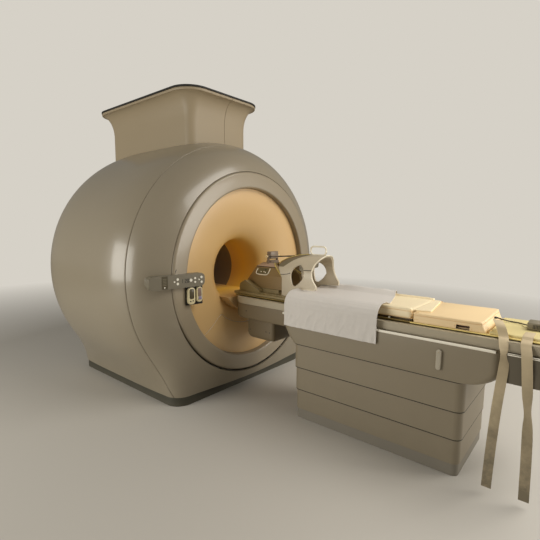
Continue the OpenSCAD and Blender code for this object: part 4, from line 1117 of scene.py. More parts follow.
def make_nose():
    """The docked end under the frame, and the docking box below it."""
    half, rings = FRAME_HALF - 0.005, []
    for a in np.linspace(0, math.pi / 2, 5):
        inset = 0.012 * (1 - math.sin(a))
        rings.append(ring_at(nose_plan(half - inset, NOSE_BACK + inset, NOSE_FRONT - 0.002 - inset),
                             0.69 + 0.012 * (1 - math.cos(a))))
    rings += [ring_at(nose_plan(half, NOSE_BACK, NOSE_FRONT - 0.002), SHOULDER_Z - 0.001),
              ring_at(nose_plan(half - 0.003, NOSE_BACK, NOSE_FRONT - 0.005), SHOULDER_Z)]
    stand(lofted("table_docked_nose", rings), "nose_grey", "table_nose")
    screws("nose_screw", [(-0.2852, -1.044, 0.758)], (-1, 0, 0), 0.006, "dark_plastic", "table_nose")
    rings = []
    for a in np.linspace(0, math.pi / 2, 7):
        lift, inset = 0.045 * (1 - math.cos(a)), 0.03 * (1 - math.sin(a))
        plan = rounded_plan(0.22 - inset * 0.4, -1.292 + inset * 0.2, -0.99 - inset * 1.6, 0.03, 8)
        rings.append(ring_at(plan, DOCK_LOW_Z + lift))
    rings += [ring_at(rounded_plan(0.22, -1.292, -0.99, 0.03, 8), 0.69)]
    stand(lofted("table_docking_box", rings), "nose_grey", "docking_box")
    screws("docking_screws", [(-0.2202, -1.03, 0.581), (-0.2202, -1.212, 0.588), (-0.2202, -1.25, 0.585)],
           (-1, 0, 0), 0.005, "dark_plastic", "docking_box")


def make_foot_cover():
    """The cover over the frame's rear end, hollowed a little in front, and the pale rails on both sides,
    whose near-white colour also paints the highlight along the upper cover's rounded shoulder.
    """
    curve = [(FOOT_Y - 0.014 * math.sin(math.pi * i / 12), 0.79 - 0.138 * i / 12) for i in range(13)]
    outline = [(FRAME_END - 0.005, SHOULDER_Z), (FOOT_Y, SHOULDER_Z)] + curve + [(FRAME_END - 0.005, 0.652)]
    stand(bevel(prism_across("table_foot_cover", outline, -0.32, 0.32), 0.004, 3, 40), "end_cover_dark",
          "foot_end_cover")
    for side, name in SIDES:
        for kind, x, ends, count, radius, node, spacing in (
                ("rail", 0.3155, (-1.47, -2.94), 12, 0.009, "cover_upper", 0.05),
                ("foot_rail", 0.3125, (-2.995, -3.142), 4, 0.008, "foot_end_cover", 0.03)):
            bar("table_%s_%s" % (kind, name), [[(side * x, y, 0.8085) for y in np.linspace(*ends, count)]],
                radius, "rail_pale_and_highlight", node, sides=18, spacing=spacing)


def make_lever():
    y, z = LEVER_PIVOT
    rings = [[(x, y + a, z + b) for a, b in arc((0, 0), LEVER_R - inset, 0, 180, 12)
              + arc((0, -0.093), LEVER_R - inset, 180, 360, 12)]
             for x, inset in ((-0.3262, 0.0), (-0.3375, 0.0), (-0.3403, 0.0012), (-0.3418, 0.0035),
                              (-0.342, 0.006))]
    stand(lofted("table_release_lever", rings), "lever_white", "release_lever")
    screws("lever_pivot", [(-0.3418, y, z)], (-1, 0, 0), 0.0055, "frame_grey", "release_lever", 0.3)


make_upper_cover()
make_tiers()
make_frame()
make_nose()
make_foot_cover()
make_lever()

# The tabletop, the pads and the spine coil

RIM_Z = 0.884
PAD_TOP = 0.958
PAD_Y = (-2.444, -1.5)
SPINE_Y = (-2.868, -2.454)
SPINE_TOP = 0.946
UNDER_Z = 0.8656
SLOT_Y = (-2.784, -2.711)

# The spine coil's case by height: half its width, how far its front draws back and its rear's slope
COIL_LAYERS = [(0.8848, 0.2385, 0.003, 1), (0.8862, 0.2402, 0.001, 1), (0.9275, 0.2402, 0.001, 1),
               (0.929, 0.2385, 0.002, 1), (0.929, 0.235, 0.005, 1.2), (0.9315, 0.235, 0.005, 1.2),
               (0.9315, 0.24, 0.002, 1), (0.933, 0.2418, 0.0, 1), (0.942, 0.2418, 0.0, 1),
               (0.945, 0.2395, 0.002, 1), (0.946, 0.2365, 0.005, 1.1)]


def soft_slab(name, half_x, y0, y1, z0, z1, corner, crown):
    """A pad before it is filled: a rounded block whose sides pull in a little between its corners."""
    centre, size_y = (y0 + y1) / 2, (y1 - y0) / 2

    def plan(inset, z):
        out = []
        for x, y in rounded_plan(half_x - inset, inset - size_y, size_y - inset, max(corner - inset, 0.004)):
            pull_x = crown * (1 - min(abs(y) / size_y, 1) ** 4)
            pull_y = crown * (1 - min(abs(x) / half_x, 1) ** 4)
            out.append((x * (1 - pull_x / half_x), centre + y * (1 - pull_y / size_y), z))
        return out

    turn = min(corner, (z1 - z0) / 2)
    angles = [math.pi / 2 * i / 6 for i in range(7)]
    rings = [plan(turn * (1 - math.sin(a)), z0 + turn * (1 - math.cos(a))) for a in angles]
    rings += [plan(turn * (1 - math.cos(a)), z1 - turn * (1 - math.sin(a))) for a in angles]
    return lofted(name, rings, 60)


def filled(obj, voxel, pressure, limit):
    """Swells a pad as cloth filled with foam: remeshed, simulated, and held to a limit from its start."""
    remesh = obj.modifiers.new("remesh", "REMESH")
    remesh.mode, remesh.voxel_size = "VOXEL", voxel
    apply_modifiers(obj)
    start = np.array([v.co[:] for v in obj.data.vertices])
    settings = obj.modifiers.new("filling", "CLOTH").settings
    settings.use_pressure, settings.uniform_pressure_force = True, pressure
    settings.effector_weights.gravity = 0
    settings.tension_stiffness = settings.compression_stiffness = 40
    settings.bending_stiffness = settings.quality = 5
    for number in range(1, 21):
        bpy.context.scene.frame_set(number)
    apply_modifiers(obj)
    bpy.context.scene.frame_set(1)
    move = np.array([v.co[:] for v in obj.data.vertices]) - start
    move *= np.minimum(1, limit / np.maximum(np.linalg.norm(move, axis=1, keepdims=True), 1e-9))
    obj.data.vertices.foreach_set("co", (start + move).ravel())
    soft = obj.modifiers.new("soft", "SUBSURF")
    soft.levels = soft.render_levels = 1
    apply_modifiers(obj)
    smooth(obj, 70)


def make_patient_pad():
    """The long pad with its raised borders and piping, and the flap over the spine coil's front."""
    front, rear = PAD_Y[1], PAD_Y[0]
    pad = soft_slab("patient_pad_top", 0.2385, rear + 0.002, front - 0.002, 0.8985, PAD_TOP - 0.0035, 0.016,
                    0.002)
    with editing(pad) as bm:
        for side, _ in SIDES:
            border = lofted("border", [[(side * 0.2215 + a * share, y, 0.9595 + b * share)
                                        for a, b in rounded_plan(0.016, -0.0115, 0.0115, 0.008, 5)]
                                       for y, share in ((rear + 0.004, 0.8), (rear + 0.008, 1.0),
                                                        (front - 0.008, 1.0), (front - 0.004, 0.8))])
            bm.from_mesh(border.data)
            bpy.data.objects.remove(border)
    filled(smooth(pad, 60), 0.006, 4, 0.0022)
    stand(pad, "pad_vinyl", "mattress")
    bar("patient_pad_piping", [ring_at(rounded_plan(0.2402, rear + 0.0005, front - 0.0005, 0.02, 8), z)
                               for z in (0.949, 0.905)],
        0.0016, "pad_piping", "mattress", closed=True, sides=8, spacing=0.012)
    flap = [(-0.2, -2.44), (-0.172, -2.538), (-0.164, -2.5415), (0.226, -2.4845), (0.232, -2.478),
            (0.232, -2.44)]
    flap = lofted("patient_pad_rear_flap", [ring_at(flap, z) for z in (0.9463, 0.9555)])
    give(bevel(flap, 0.003, 3, 30), "pad_vinyl", "mattress")
    # A support in the trough under the pad, dark so as to paint the shadow in the gap below the pad.
    underlay = underside("pad_underlay", [(0.186, UNDER_Z), (0.205, 0.8805), (0.205, 0.8975)], PAD_Y, 0.006)
    give(bevel(underlay, 0.003), "underlay_painted_shade", "mattress")
    give(lofted("pad_clip_knob", [[(-0.2435 + d, y, z) for y, z in circle(-2.3, 0.893, r, 20)] for d, r in
                                  ((0.012, 0.004), (0.0, 0.0045), (-0.002, 0.0052), (-0.005, 0.0052),
                                   (-0.0065, 0.0035))]), "button_white", "mattress")


def underside(name, right, ends, inset):
    """The keel below a pad or coil that lies in the tabletop's trough, from its right half's outline."""
    return prism(name, [(-x, z) for x, z in right[::-1]] + right, ends[0] + inset, ends[1] - inset)


def make_foot_pad():
    foot = soft_slab("patient_pad_foot", 0.228, -3.132, -2.881, 0.8672, 0.8985, 0.008, 0.0015)
    filled(foot, 0.005, 4, 0.001)
    give(foot, "foot_pad_vinyl", "mattress")


def slot_box(name, grow, low, high, x0, x1):
    """A block across the spine coil's slot, grown a little along the table."""
    y0, y1 = SLOT_Y[0] - grow, SLOT_Y[1] + grow
    return prism_across(name, [(y0, low), (y0, high), (y1, high), (y1, low)], x0, x1)


def make_spine_coil():
    """The coil in its flat case, with a slot in each side for lifting it, dark brown inside and with a dark
    plate at its back: painted shade.
    """
    rings = []
    for z, half, lead, slope in COIL_LAYERS:
        rear = SPINE_Y[0] + 0.022 * (z - RIM_Z) / (SPINE_TOP - RIM_Z) * slope
        rings.append(ring_at(rounded_plan(half, rear, SPINE_Y[1] - lead, 0.012, 6), z))
    case = lofted("spine_coil_case", rings)
    for side, _ in SIDES:
        cut(case, slot_box("slot_cutter", 0.0, 0.8868, 0.912, side * 0.213, side * 0.25))
    stand(smooth(case), "coil_cream", "spine_coil")
    # The slot's inner faces take the dark brown: painted shade.
    case.data.materials.append(MATERIALS["slot_painted_shade"])
    for face in case.data.polygons:
        x, y, z = face.center
        if 0.2125 < abs(x) < 0.2398 and -2.7845 < y < -2.7105 and 0.8866 < z < 0.9122:
            face.material_index = 1
    for side, name in SIDES:
        line = [(side * 0.2404, y, z) for y, z in ((-2.7855, 0.8868), (-2.7855, 0.9135), (-2.7095, 0.9135),
                                                  (-2.7095, 0.8868))]
        bar("slot_frame_" + name, [line], 0.0018, "coil_cream", "spine_coil", closed=True, sides=8,
            spacing=0.004)
        # A dark plate at the slot's back: painted shade.
        back = slot_box("slot_shade_plate_" + name, -0.0005, 0.8872, 0.9115, side * 0.2135, side * 0.2155)
        give(back, "slot_painted_shade", "spine_coil")
    keel = [(0.186, UNDER_Z), (0.2165, 0.8845), (0.2275, 0.896)]
    give(underside("spine_coil_underside", keel, SPINE_Y, 0.003), "coil_cream", "spine_coil")


copy_of("tabletop", "patient_tabletop", "tabletop_resin", 0.001)
# A pale bar along each top edge of the tabletop: painted highlight.
for side, name in SIDES:
    bar("tabletop_edge_bead_" + name, [[(side * 0.2458, y, 0.8805) for y in np.linspace(-2.44, -3.147, 10)]],
        0.0045, "straw_edge_highlight", "tabletop", spacing=0.05)
make_patient_pad()
make_foot_pad()
make_spine_coil()

# The head coil: a shell over the shoulders, and a helmet with a mirror

SHELL_HALF = 0.176
SHELL_WALL = 0.014
SHELL_Y = (-1.678, -1.292)
ARCH_Z = 1.05
ARCH_H = 0.2
ARCH_POWER = 0.85
DECK_Z = 0.914
HEAD_Z = 1.035
HEAD_R = 0.112

# Lines on the shell's side, in Y and Z
SHELL_SIDE = [(-1.345, 0.91), (-1.345, 1.058), (-1.324, 1.095), (-1.303, 1.14), (-1.292, 1.178),
              (-1.34, 1.215), (-1.42, 1.243), (-1.5, 1.2515), (-1.678, 1.2515), (-1.678, 0.99),
              (-1.516, 0.985), (-1.492, 0.97), (-1.492, 0.91)]
DROP_HOLE = [(-1.562, 1.085), (-1.556, 1.122), (-1.54, 1.154), (-1.51, 1.174), (-1.476, 1.162),
             (-1.446, 1.136), (-1.431, 1.1), (-1.433, 1.06), (-1.446, 1.014), (-1.466, 1.003),
             (-1.488, 1.008), (-1.528, 1.04)]
REAR_HOLLOW = [(-1.699, 1.2555), (-1.676, 1.243), (-1.654, 1.21), (-1.639, 1.18), (-1.631, 1.15),
               (-1.629, 1.118), (-1.636, 1.088), (-1.65, 1.056), (-1.6795, 1.016)]
REAR_RIM_LOW = [(-1.6765, 1.012), (-1.668, 0.9925), (-1.62, 0.9875), (-1.53, 0.985), (-1.5, 0.974),
                (-1.493, 0.95), (-1.493, 0.917)]
FRONT_RIM = [(-1.2945, 1.17), (-1.305, 1.19), (-1.34, 1.2145), (-1.38, 1.2305), (-1.42, 1.2425),
             (-1.46, 1.248), (-1.5, 1.2499)]
BAND_SIDE = [(-1.3, 1.15), (-1.2925, 1.178), (-1.34, 1.2145), (-1.42, 1.2425), (-1.5, 1.2515),
             (-1.53, 1.2515), (-1.47, 1.231), (-1.42, 1.206), (-1.38, 1.176), (-1.345, 1.15)]
RED_LINE = [(-1.298, 1.166), (-1.312, 1.186), (-1.34, 1.205), (-1.38, 1.221), (-1.42, 1.233),
            (-1.45, 1.239)]
LEAD_FRONT = [(-1.33, 1.087), (-1.37, 1.091), (-1.405, 1.097), (-1.43, 1.106)]
LEAD_REAR = [(-1.552, 1.137), (-1.57, 1.136), (-1.6, 1.137), (-1.629, 1.14)]


def arch_half(z):
    """Half the shell's width at a height."""
    rise = min(max(z - ARCH_Z, 0.0) / ARCH_H, 1.0) ** (1 / ARCH_POWER)
    return SHELL_HALF * math.sqrt(max(1 - rise * rise, 0.0))


def arch_line(depth):
    return [((SHELL_HALF - depth) * math.cos(a),
             ARCH_Z + (ARCH_H - depth) * max(math.sin(a), 0.0) ** ARCH_POWER)
            for a in np.linspace(0, math.pi, 73)]


def arch_prism(name, outer, inner, y0, y1):
    """A round arch with straight legs and a wall, between two places along the table."""
    low = DECK_Z + 0.0003
    return prism(name, [(SHELL_HALF - outer, low)] + arch_line(outer)
                 + [(outer - SHELL_HALF, low), (inner - SHELL_HALF, low)] + arch_line(inner)[::-1]
                 + [(SHELL_HALF - inner, low)], y0, y1)


def shell_lines(outline, proud):
    """A line on the shell's outside through places in Y and Z, on the near side and on the far side."""
    near = [(-arch_half(z) - proud, y, z) for y, z in outline]
    return [near, [(-x, y, z) for x, y, z in near]]


def shell_bar(name, lines, radius, material, **settings):
    bar(name, lines, radius, material, "head_coil_shell", **{"sides": 8, "spacing": 0.008, **settings})


def make_shell():
    shell = arch_prism("head_coil_arch", 0.0, SHELL_WALL, *SHELL_Y)
    cut(shell, prism_across("side_keeper", SHELL_SIDE, -0.25, 0.25), "INTERSECT")
    cut(shell, prism_across("drop_cutter", smooth_path(DROP_HOLE + DROP_HOLE[:1], 4)[:-1], -0.25, 0.25))
    hollow = smooth_path(REAR_HOLLOW, 5)
    cut(shell, prism_across("hollow_cutter", hollow + [(-1.9, 1.0), (-1.9, 1.26)], -0.25, 0.25))
    stand(bevel(smooth(shell, 30), 0.004, 3, 45), "shell_white", "head_coil_shell")

    curve = [(y, z) for y, z in hollow if y > -1.6775 and z < 1.2495]
    near, far = shell_lines([(-1.6775, 1.2495)] + curve + REAR_RIM_LOW, 0.0005)
    shell_bar("head_coil_rear_rim", [near[::-1] + far[1:]], 0.0042, "rim_white", sides=10)
    shell_bar("head_coil_front_rim", shell_lines(FRONT_RIM, 0.0008), 0.0032, "rim_yellow")
    band = arch_prism("head_coil_front_band", -0.0012, 0.002, -1.55, -1.2925)
    cut(band, prism_across("band_keeper", BAND_SIDE, -0.25, 0.25), "INTERSECT")
    give(smooth(band, 30), "coil_grey", "head_coil_shell")
    shell_bar("head_coil_red_line", shell_lines(RED_LINE, 0.0016), 0.0022, "line_red")
    lead = shell_lines(LEAD_FRONT, 0.0012) + shell_lines(LEAD_REAR, 0.0012)
    shell_bar("head_coil_shell_lead", lead, 0.0024, "dark_plastic")
    handle = [(0, y - 1.581, z + 1.2725) for y, z in rounded_plan(0.0735, -0.0235, 0.0455, 0.03, 8)]
    shell_bar("head_coil_handle", [handle], 0.0068, "rim_white", closed=True, sides=14, spacing=0.006)


# The helmet's right half: its corners, its near upper facet in X and Z, and places on that facet
HELMET_CORNERS = [(0.14, -1.343, 0.946), (0.14, -1.318, 1.055), (0.101, -1.222, 1.127),
                  (0.0504, -1.165, 1.159), (0.0504, -1.03, 1.159), (0.101, -0.998, 1.127),
                  (0.14, -1.06, 1.055), (0.14, -1.06, 0.946), (0.116, -0.906, 1.006),
                  (0.114, -0.937, 0.946)]
HELMET_FACET = ((-0.14, 1.055), (-0.1008, 1.127))
TRAY_EDGE = [(-0.944, 1.0045), (-1.0, 0.981), (-1.06, 0.956), (-1.112, 0.9345)]
TOP_PLATE = [(0.0975, -1.0035, 1.1297), (0.0535, -1.033, 1.1575), (0.0535, -1.162, 1.1575),
             (0.0975, -1.2145, 1.1297)]
BRACKET = [(-1.028, 0.74), (-1.022, 0.3), (-1.036, 0.12), (-1.06, 0.08), (-1.09, 0.07), (-1.125, 0.08),
           (-1.15, 0.12), (-1.161, 0.32), (-1.165, 0.84)]
REAR_RIM = [(-0.14, -1.3185, 1.06), (-0.1015, -1.2225, 1.1275), (-0.0505, -1.1655, 1.1595)]
PIN = (-1.1, 1.215)


def on_helmet(y, share, proud=0.0):
    """A place on the helmet's near upper facet: along the table, up the facet and out of it."""
    (x0, z0), (x1, z1) = HELMET_FACET
    out = Vector((z0 - z1, 0, x1 - x0)).normalized()
    return Vector((x0 + (x1 - x0) * share, y, z0 + (z1 - z0) * share)) + out * proud


def make_tray():
    copy_of("head_coil_base", "head_coil_tray", "tray_grey", 0.006, 3)
    bar("head_coil_tray_rims", [[(side * 0.1965, y, z) for y, z in TRAY_EDGE] for side, _ in SIDES], 0.004,
        "coil_grey", "head_coil_base", sides=8)


def make_dome():
    """The faceted helmet, hollowed for the head, with a window for the eyes and room for the tray."""
    bm = bmesh.new()
    for x, y, z in HELMET_CORNERS:
        for side, _ in SIDES:
            bm.verts.new((side * x, y, z))
    bmesh.ops.convex_hull(bm, input=bm.verts)
    bmesh.ops.dissolve_limit(bm, angle_limit=0.02, verts=bm.verts, edges=bm.edges)
    dome = from_bmesh("head_coil_dome", bm)
    cut(dome, prism("head_space", circle(0, HEAD_Z, HEAD_R, 64), -1.4, -0.97))
    cut(dome, prism_across("eye_window", [(-1.25, 1.1), (-1.13, 1.1), (-1.13, 1.2), (-1.25, 1.2)],
                           -0.045, 0.045))
    cut(dome, prism_across("tray_room", [(-0.9335, 0.93), (-0.9335, 1.0004), (-0.88, 0.974), (-0.85, 0.93)],
                           -0.2, 0.2))
    outwards(dome, (0, -1.1, 1.0))
    stand(bevel(smooth(dome, 20), 0.006, 3, 20), "helmet_grey", "head_coil_helmet")


def dress_top(side, name):
    """A post for the mirror's pin, the rosy top plate and a dark bar at its edge that paints the edge's
    shade, on one side.
    """
    node = "head_coil_helmet"
    post = lofted("mirror_post_" + name, [[(side * 0.06 + x, y, z) for x, y in
                                           rounded_plan(0.006, -1.112, -1.088, 0.004, 4)]
                                          for z in (1.14, 1.225, 1.227)])
    cut(post, prism_across("pin_room", circle(*PIN, 0.0042, 24), -0.08, 0.08))
    give(post, "mirror_mauve", node)
    plates = [[(side * (x + 0.54 * d), y, z + 0.84 * d) for x, y, z in TOP_PLATE] for d in (-0.002, 0.0016)]
    give(lofted("helmet_top_plate_" + name, plates), "helmet_rose", node)
    # A dark bar along the top plate's edge: painted shade.
    seam = [(side * 0.1012, y, 1.1275) for y in np.linspace(-1.002, -1.218, 9)]
    bar("helmet_top_seam_" + name, [seam], 0.0026, "dark_plastic", node, sides=8, spacing=0.02)


def dress_facet(side, name):
    """The socket, its bracket and pins on one side's upper facet, a dark dome that paints the shade of its
    hole, and the yellow rear rim.
    """
    node = "head_coil_helmet"

    def across(points):
        return [(-side * x, y, z) for x, y, z in points]

    bar("helmet_bracket_" + name, [across(on_helmet(y, share, 0.0035) for y, share in BRACKET)], 0.0042,
        "rim_white", node, spacing=0.006)
    plate = []
    for proud, grow in ((-0.004, 0.0), (0.0015, 0.0), (0.0028, -0.0015)):
        plan = rounded_plan(0.054 + grow, -0.34 - grow / 0.09, 0.34 + grow / 0.09, 0.012, 4)
        plate.append(across(on_helmet(-1.094 + a, 0.52 + b, proud) for a, b in plan))
    give(lofted("helmet_socket_" + name, plate), "socket_brown", node)
    spots = across(on_helmet(y, share, 0.003) for y, share in ((-1.108, 0.42), (-1.125, 0.36), (-1.075, 0.4),
                                                               (-1.12, 0.66)))
    facing = across([on_helmet(0, 0.5, 1) - on_helmet(0, 0.5, 0)])[0]
    screws("helmet_socket_pins_" + name, spots[:3], facing, 0.006, "rim_white", node)
    # A dark dome where the socket has a hole: painted shade.
    screws("helmet_socket_hole_shade_" + name, spots[3:], facing, 0.007, "dark_plastic", node)
    bar("helmet_rear_rim_" + name, [across(REAR_RIM)], 0.004, "rim_yellow", node, sides=8, spacing=0.008)


def make_helmet():
    make_tray()
    make_dome()
    for side, name in SIDES:
        dress_top(side, name)
    give(lofted("mirror_carriage", [ring_at(rounded_plan(0.0535 - d, d - 1.131, -1.069 - d, 0.008, 5), z)
                                    for z, d in ((1.156, 0.0), (1.176, 0.0), (1.179, 0.003))]),
         "mirror_mauve", "head_coil_helmet")
    for side, name in SIDES:
        dress_facet(side, name)
    bar("mirror_stay_rod", [[(x, -1.112, 1.213), (x, -1.2, 1.2185), (x, -1.3, 1.2265), (x, -1.375, 1.2295)]
                            for x in (-0.06, 0.06)], 0.003, "dark_plastic", "head_coil_helmet", sides=8)


def make_mirror():
    """The mirror's box, its glass and the two knobs it tilts by."""
    y, z = PIN[0], PIN[1] + 0.01
    node = "head_coil_mirror"
    rings = [[(x, y + a, z + b)
              for a, b in rounded_plan(0.024 - inset, inset - 0.032, 0.032 - inset, 0.006, 5)]
             for x, inset in ((-0.052, 0.006), (-0.0505, 0.002), (-0.047, 0.0), (0.047, 0.0), (0.0505, 0.002),
                              (0.052, 0.006))]
    stand(lofted("head_coil_mirror_box", rings), "mirror_mauve", node)
    glass = [[(0.041 * a, y + 0.0236 + d, z + 0.025 * b) for a, b in ((-1, -1), (1, -1), (1, 1), (-1, 1))]
             for d in (0.0, 0.0008)]
    give(lofted("mirror_glass", glass), "mirror_silver", node)
    for side, name in SIDES:
        rings = [[(side * x, a, b) for a, b in circle(*PIN, r, 28)] for x, r in
                 ((0.05, 0.0035), (0.0715, 0.0035), (0.072, 0.0085), (0.0735, 0.01), (0.086, 0.01),
                  (0.0878, 0.0085), (0.088, 0.006))]
        give(lofted("mirror_knob_" + name, rings), "knob_cream", node)


make_shell()
make_helmet()
make_mirror()

# The sheet over the table

SHEET_Y = (-2.258, -1.502)
SHEET_FAR_Z = 0.882
SHEET_NEAR = [(-0.338, 0.722), (-0.338, 0.78), (-0.3375, 0.84), (-0.337, 0.885), (-0.332, 0.912),
              (-0.318, 0.94), (-0.3, 0.957), (-0.282, 0.969), (-0.262, 0.9755), (-0.236, 0.9768)]
SHEET_ACROSS = 190
SHEET_ALONG = 170


def fold_noise(y, s, scale, seed):
    return noise.noise(Vector((y * scale, s * scale * 0.8, seed)))


def make_sheet():
    """A cloth laid over the pad: smooth on top, creased where it hangs over the near edge."""
    top = [(x, 0.9602 + 0.0166 * max(abs(x) - 0.17, 0) / 0.03) for x in np.linspace(-0.2, 0.2, 9)]
    far = [(-x, z) for x, z in reversed(SHEET_NEAR) if z >= SHEET_FAR_Z]
    profile = [Vector(p) for p in SHEET_NEAR + top + far]
    reach = [0.0]
    for a, b in zip(profile, profile[1:]):
        reach.append(reach[-1] + (b - a).length)
    grid = []
    for i in range(SHEET_ALONG + 1):
        y = SHEET_Y[0] + (SHEET_Y[1] - SHEET_Y[0]) * i / SHEET_ALONG
        for j in range(SHEET_ACROSS + 1):
            s = reach[-1] * j / SHEET_ACROSS
            k = max(n for n in range(len(reach) - 1) if reach[n] <= s + 1e-9)
            p = profile[k].lerp(profile[k + 1], (s - reach[k]) / (reach[k + 1] - reach[k]))
            side = (profile[k + 1] - profile[k]).normalized()
            flap = min(max((reach[9] - s) / 0.12, 0.0), 1.0)
            drop = min(max((reach[6] - s) / 0.2, 0.0), 1.0)
            crease = 1 - abs(fold_noise(y, s, 14, 3.1)) * 2.2
            sharp = 1 - abs(fold_noise(y + 0.2 * s, s * 0.5, 26, 8.4)) * 2.6
            soft = fold_noise(y, s * 0.25, 7.5, 1.7)
            rise = 0.0006 + 0.0012 * (1 + fold_noise(y, s, 11, 5.5))
            lift = (rise * (1 - drop) + flap * 0.0022 * max(crease, 0)
                    + drop * (0.0045 * soft + 0.003 * max(sharp, 0)))
            hem = 0.0016 if min(i, SHEET_ALONG - i) <= 2 or min(j, SHEET_ACROSS - j) <= 2 else 0.0
            point = p + Vector((-side.y, side.x)) * (lift + hem)
            hump = math.exp(-((y + 1.53) / 0.035) ** 2 - ((p.x + 0.2) / 0.09) ** 2)
            fold = 0.014 * math.exp(-((p.x - 0.225) / 0.05) ** 2) * (1.1 + 0.5 * fold_noise(y, 0.0, 8, 4.4))
            wave = 0.004 * flap * fold_noise(y * 2, s * 0.5, 5, 2.2)
            askew = 0.3 * max(p.x + 0.13, 0.0) * (1 - i / SHEET_ALONG) ** 2
            edge = 0.005 * fold_noise(s * 3.0, y, 3.0, 9.9) * (1 - abs(2 * i / SHEET_ALONG - 1) ** 0.5)
            grid.append((point.x, y + wave * 0.6 + edge + askew, point.y + 0.018 * hump + fold))
    sheet = from_data("draped_sheet", grid, rows_faces(SHEET_ALONG + 1, SHEET_ACROSS + 1, closed=False), 180)
    if sum(f.normal.z * f.area for f in sheet.data.polygons) < 0:
        sheet.data.flip_normals()
    thick = sheet.modifiers.new("cloth_thickness", "SOLIDIFY")
    thick.thickness, thick.offset = 0.0012, -1
    stand(sheet, "sheet_cotton", "sheet")
    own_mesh(sheet)


make_sheet()

# Straps, plug and lead at the foot end

STRAP_HALF = 0.025
STRAP_THICK = 0.0016
STRAP_SECTION = ((-1, -0.6), (-0.94, -1), (0.94, -1), (1, -0.6), (1, 0.6), (0.94, 1), (-0.94, 1), (-1, 0.6))
STRAP_BEND_Z = 0.812
STRAP_TIP_Z = 0.034
LIFT_DROP = 0.3466

# Places along each strap, and the share of its width that it shows there
STRAP_FRONT = [(-0.12, -2.905, 0.9484, 1.0), (-0.17, -2.917, 0.9484, 1.0), (-0.213, -2.93, 0.9475, 1.0),
               (-0.2345, -2.942, 0.934, 1.0), (-0.243, -2.953, 0.905, 1.0), (-0.2555, -2.96, 0.8885, 1.0),
               (-0.283, -2.966, 0.8805, 0.97), (-0.3035, -2.97, 0.864, 0.9), (-0.322, -2.975, 0.838, 0.75),
               (-0.3335, -2.979, 0.818, 0.55), (-0.3345, -2.982, 0.79, 0.62), (-0.334, -2.983, 0.74, 0.9),
               (-0.334, -2.975, 0.64, 1.0), (-0.3345, -2.965, 0.52, 1.0), (-0.335, -2.956, 0.38, 1.0),
               (-0.335, -2.948, 0.22, 1.0), (-0.336, -2.944, 0.12, 1.0), (-0.336, -2.941, 0.034, 1.0)]
STRAP_REAR = [(-0.12, -3.07, 0.9016, 1.0), (-0.17, -3.07, 0.9016, 1.0), (-0.222, -3.07, 0.9012, 1.0),
              (-0.236, -3.07, 0.893, 1.0), (-0.2445, -3.07, 0.8868, 1.0), (-0.262, -3.07, 0.884, 1.0),
              (-0.288, -3.071, 0.878, 1.0), (-0.303, -3.073, 0.862, 1.0), (-0.322, -3.08, 0.838, 1.0),
              (-0.3335, -3.084, 0.81, 1.0), (-0.3345, -3.09, 0.74, 1.0), (-0.334, -3.099, 0.62, 0.9),
              (-0.334, -3.106, 0.525, 0.55), (-0.3345, -3.112, 0.42, 0.9), (-0.335, -3.117, 0.25, 1.0),
              (-0.336, -3.12, 0.034, 1.0)]


def ribbon(name, rows, first, last):
    """A flat strap along part of a line of places, turned edge-on where it twists."""
    places = [Vector(row[:3]) for row in rows]
    points = []
    for n in range(first, last):
        p = places[n]
        ahead = places[min(n + 1, len(rows) - 1)] - places[max(n - 1, 0)]
        ahead.y = 0
        ahead.normalize()
        out = Vector((ahead.z, 0, -ahead.x))
        if out.x > 0 and out.z < 0:
            out = -out
        turned = math.acos(max(min(rows[n][3], 1.0), 0.2))
        edge = (Vector((0, math.cos(turned), 0)) + out * math.sin(turned)) * STRAP_HALF
        thin = (out * math.cos(turned) - Vector((0, math.sin(turned), 0))) * STRAP_THICK / 2
        points += [p + edge * a + thin * b for a, b in STRAP_SECTION]
    rings = [points[n:n + 8] for n in range(0, len(points), 8)]
    return lofted(name, rings, 60)


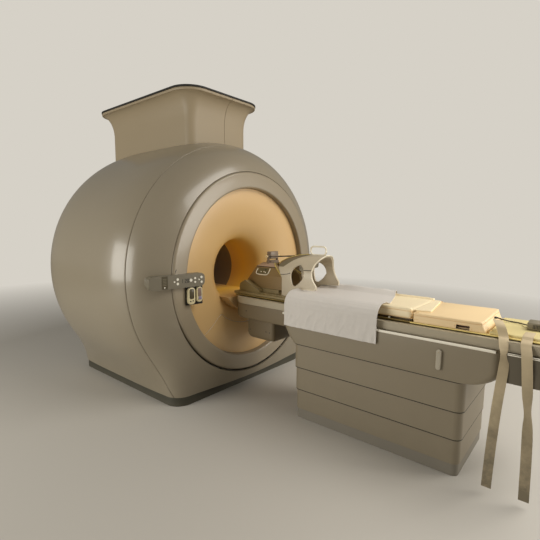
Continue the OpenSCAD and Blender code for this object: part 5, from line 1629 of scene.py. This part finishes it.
def make_straps():
    """Each strap in two pieces: what lies over the edge, and what hangs down."""
    for name, path in (("hanging_strap_front", STRAP_FRONT), ("hanging_strap_rear", STRAP_REAR)):
        curve = smooth_path(path)
        edge = next(n for n, row in enumerate(curve) if row[2] < STRAP_BEND_Z)
        give(ribbon(name + "_over_edge", curve, 0, edge + 1), "strap_webbing", "straps")
        strap = give(ribbon(name, curve, edge, len(curve)), "strap_webbing", "straps")
        if path is STRAP_FRONT:
            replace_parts(strap, "straps")
        place = curve[edge][:3]
        round(1 - LIFT_DROP / (place[2] - STRAP_TIP_Z), 3)
        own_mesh(strap)


def make_plug():
    """The lead's plug, a rounded box with grips on both sides."""
    half, middle, y0, y1, z0, z1 = 0.055, -0.005, -3.12, -3.042, 0.9003, 0.9443
    rings = [[(middle + a, y, b) for a, b in rounded_plan(half - inset, z0 + inset, z1 - inset, 0.01, 5)]
             for y, inset in ((y1, 0.006), (y1 - 0.0015, 0.002), (y1 - 0.005, 0.0), (y0 + 0.005, 0.0),
                              (y0 + 0.0015, 0.002), (y0, 0.006))]
    plug = stand(lofted("coil_plug_box", rings), "plug_grey", "coil_plug")
    grips = [[(middle + side * 0.0552, y, z) for z in np.linspace(z0 + 0.01, z1 - 0.01, 5)]
             for side, _ in SIDES for y in np.linspace(y0 + 0.014, y1 - 0.03, 6)]
    bar("coil_plug_grips", grips, 0.0016, "dark_plastic", "coil_plug", sides=6, spacing=0.006)
    return plug


LEAD = [(0.06, -2.8565, 0.922), (0.06, -2.866, 0.922), (0.062, -2.878, 0.921), (0.072, -2.9, 0.914),
        (0.085, -2.94, 0.906), (0.085, -2.975, 0.905), (0.06, -3.005, 0.907), (0.025, -3.018, 0.912),
        (0.012, -3.031, 0.914), (0.012, -3.0416, 0.914)]


def make_lead(plug):
    """The lead on one smooth curve from the spine coil to its plug, and the relief where it comes out."""
    route = smooth_path(LEAD, 6)
    lead = bar("coil_lead_cable", [route], 0.004, "lead_rubber", "coil_lead", sides=12, spacing=0.004)
    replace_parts(lead, "coil_lead")
    relief = [[(x, y, z) for x, z in circle(0.0605, 0.922, r, 18)] for y, r in
              ((-2.857, 0.0075), (-2.862, 0.0072), (-2.868, 0.0058), (-2.875, 0.0048))]
    give(lofted("coil_lead_relief", relief), "dark_plastic", "spine_coil")


make_straps()
make_lead(make_plug())
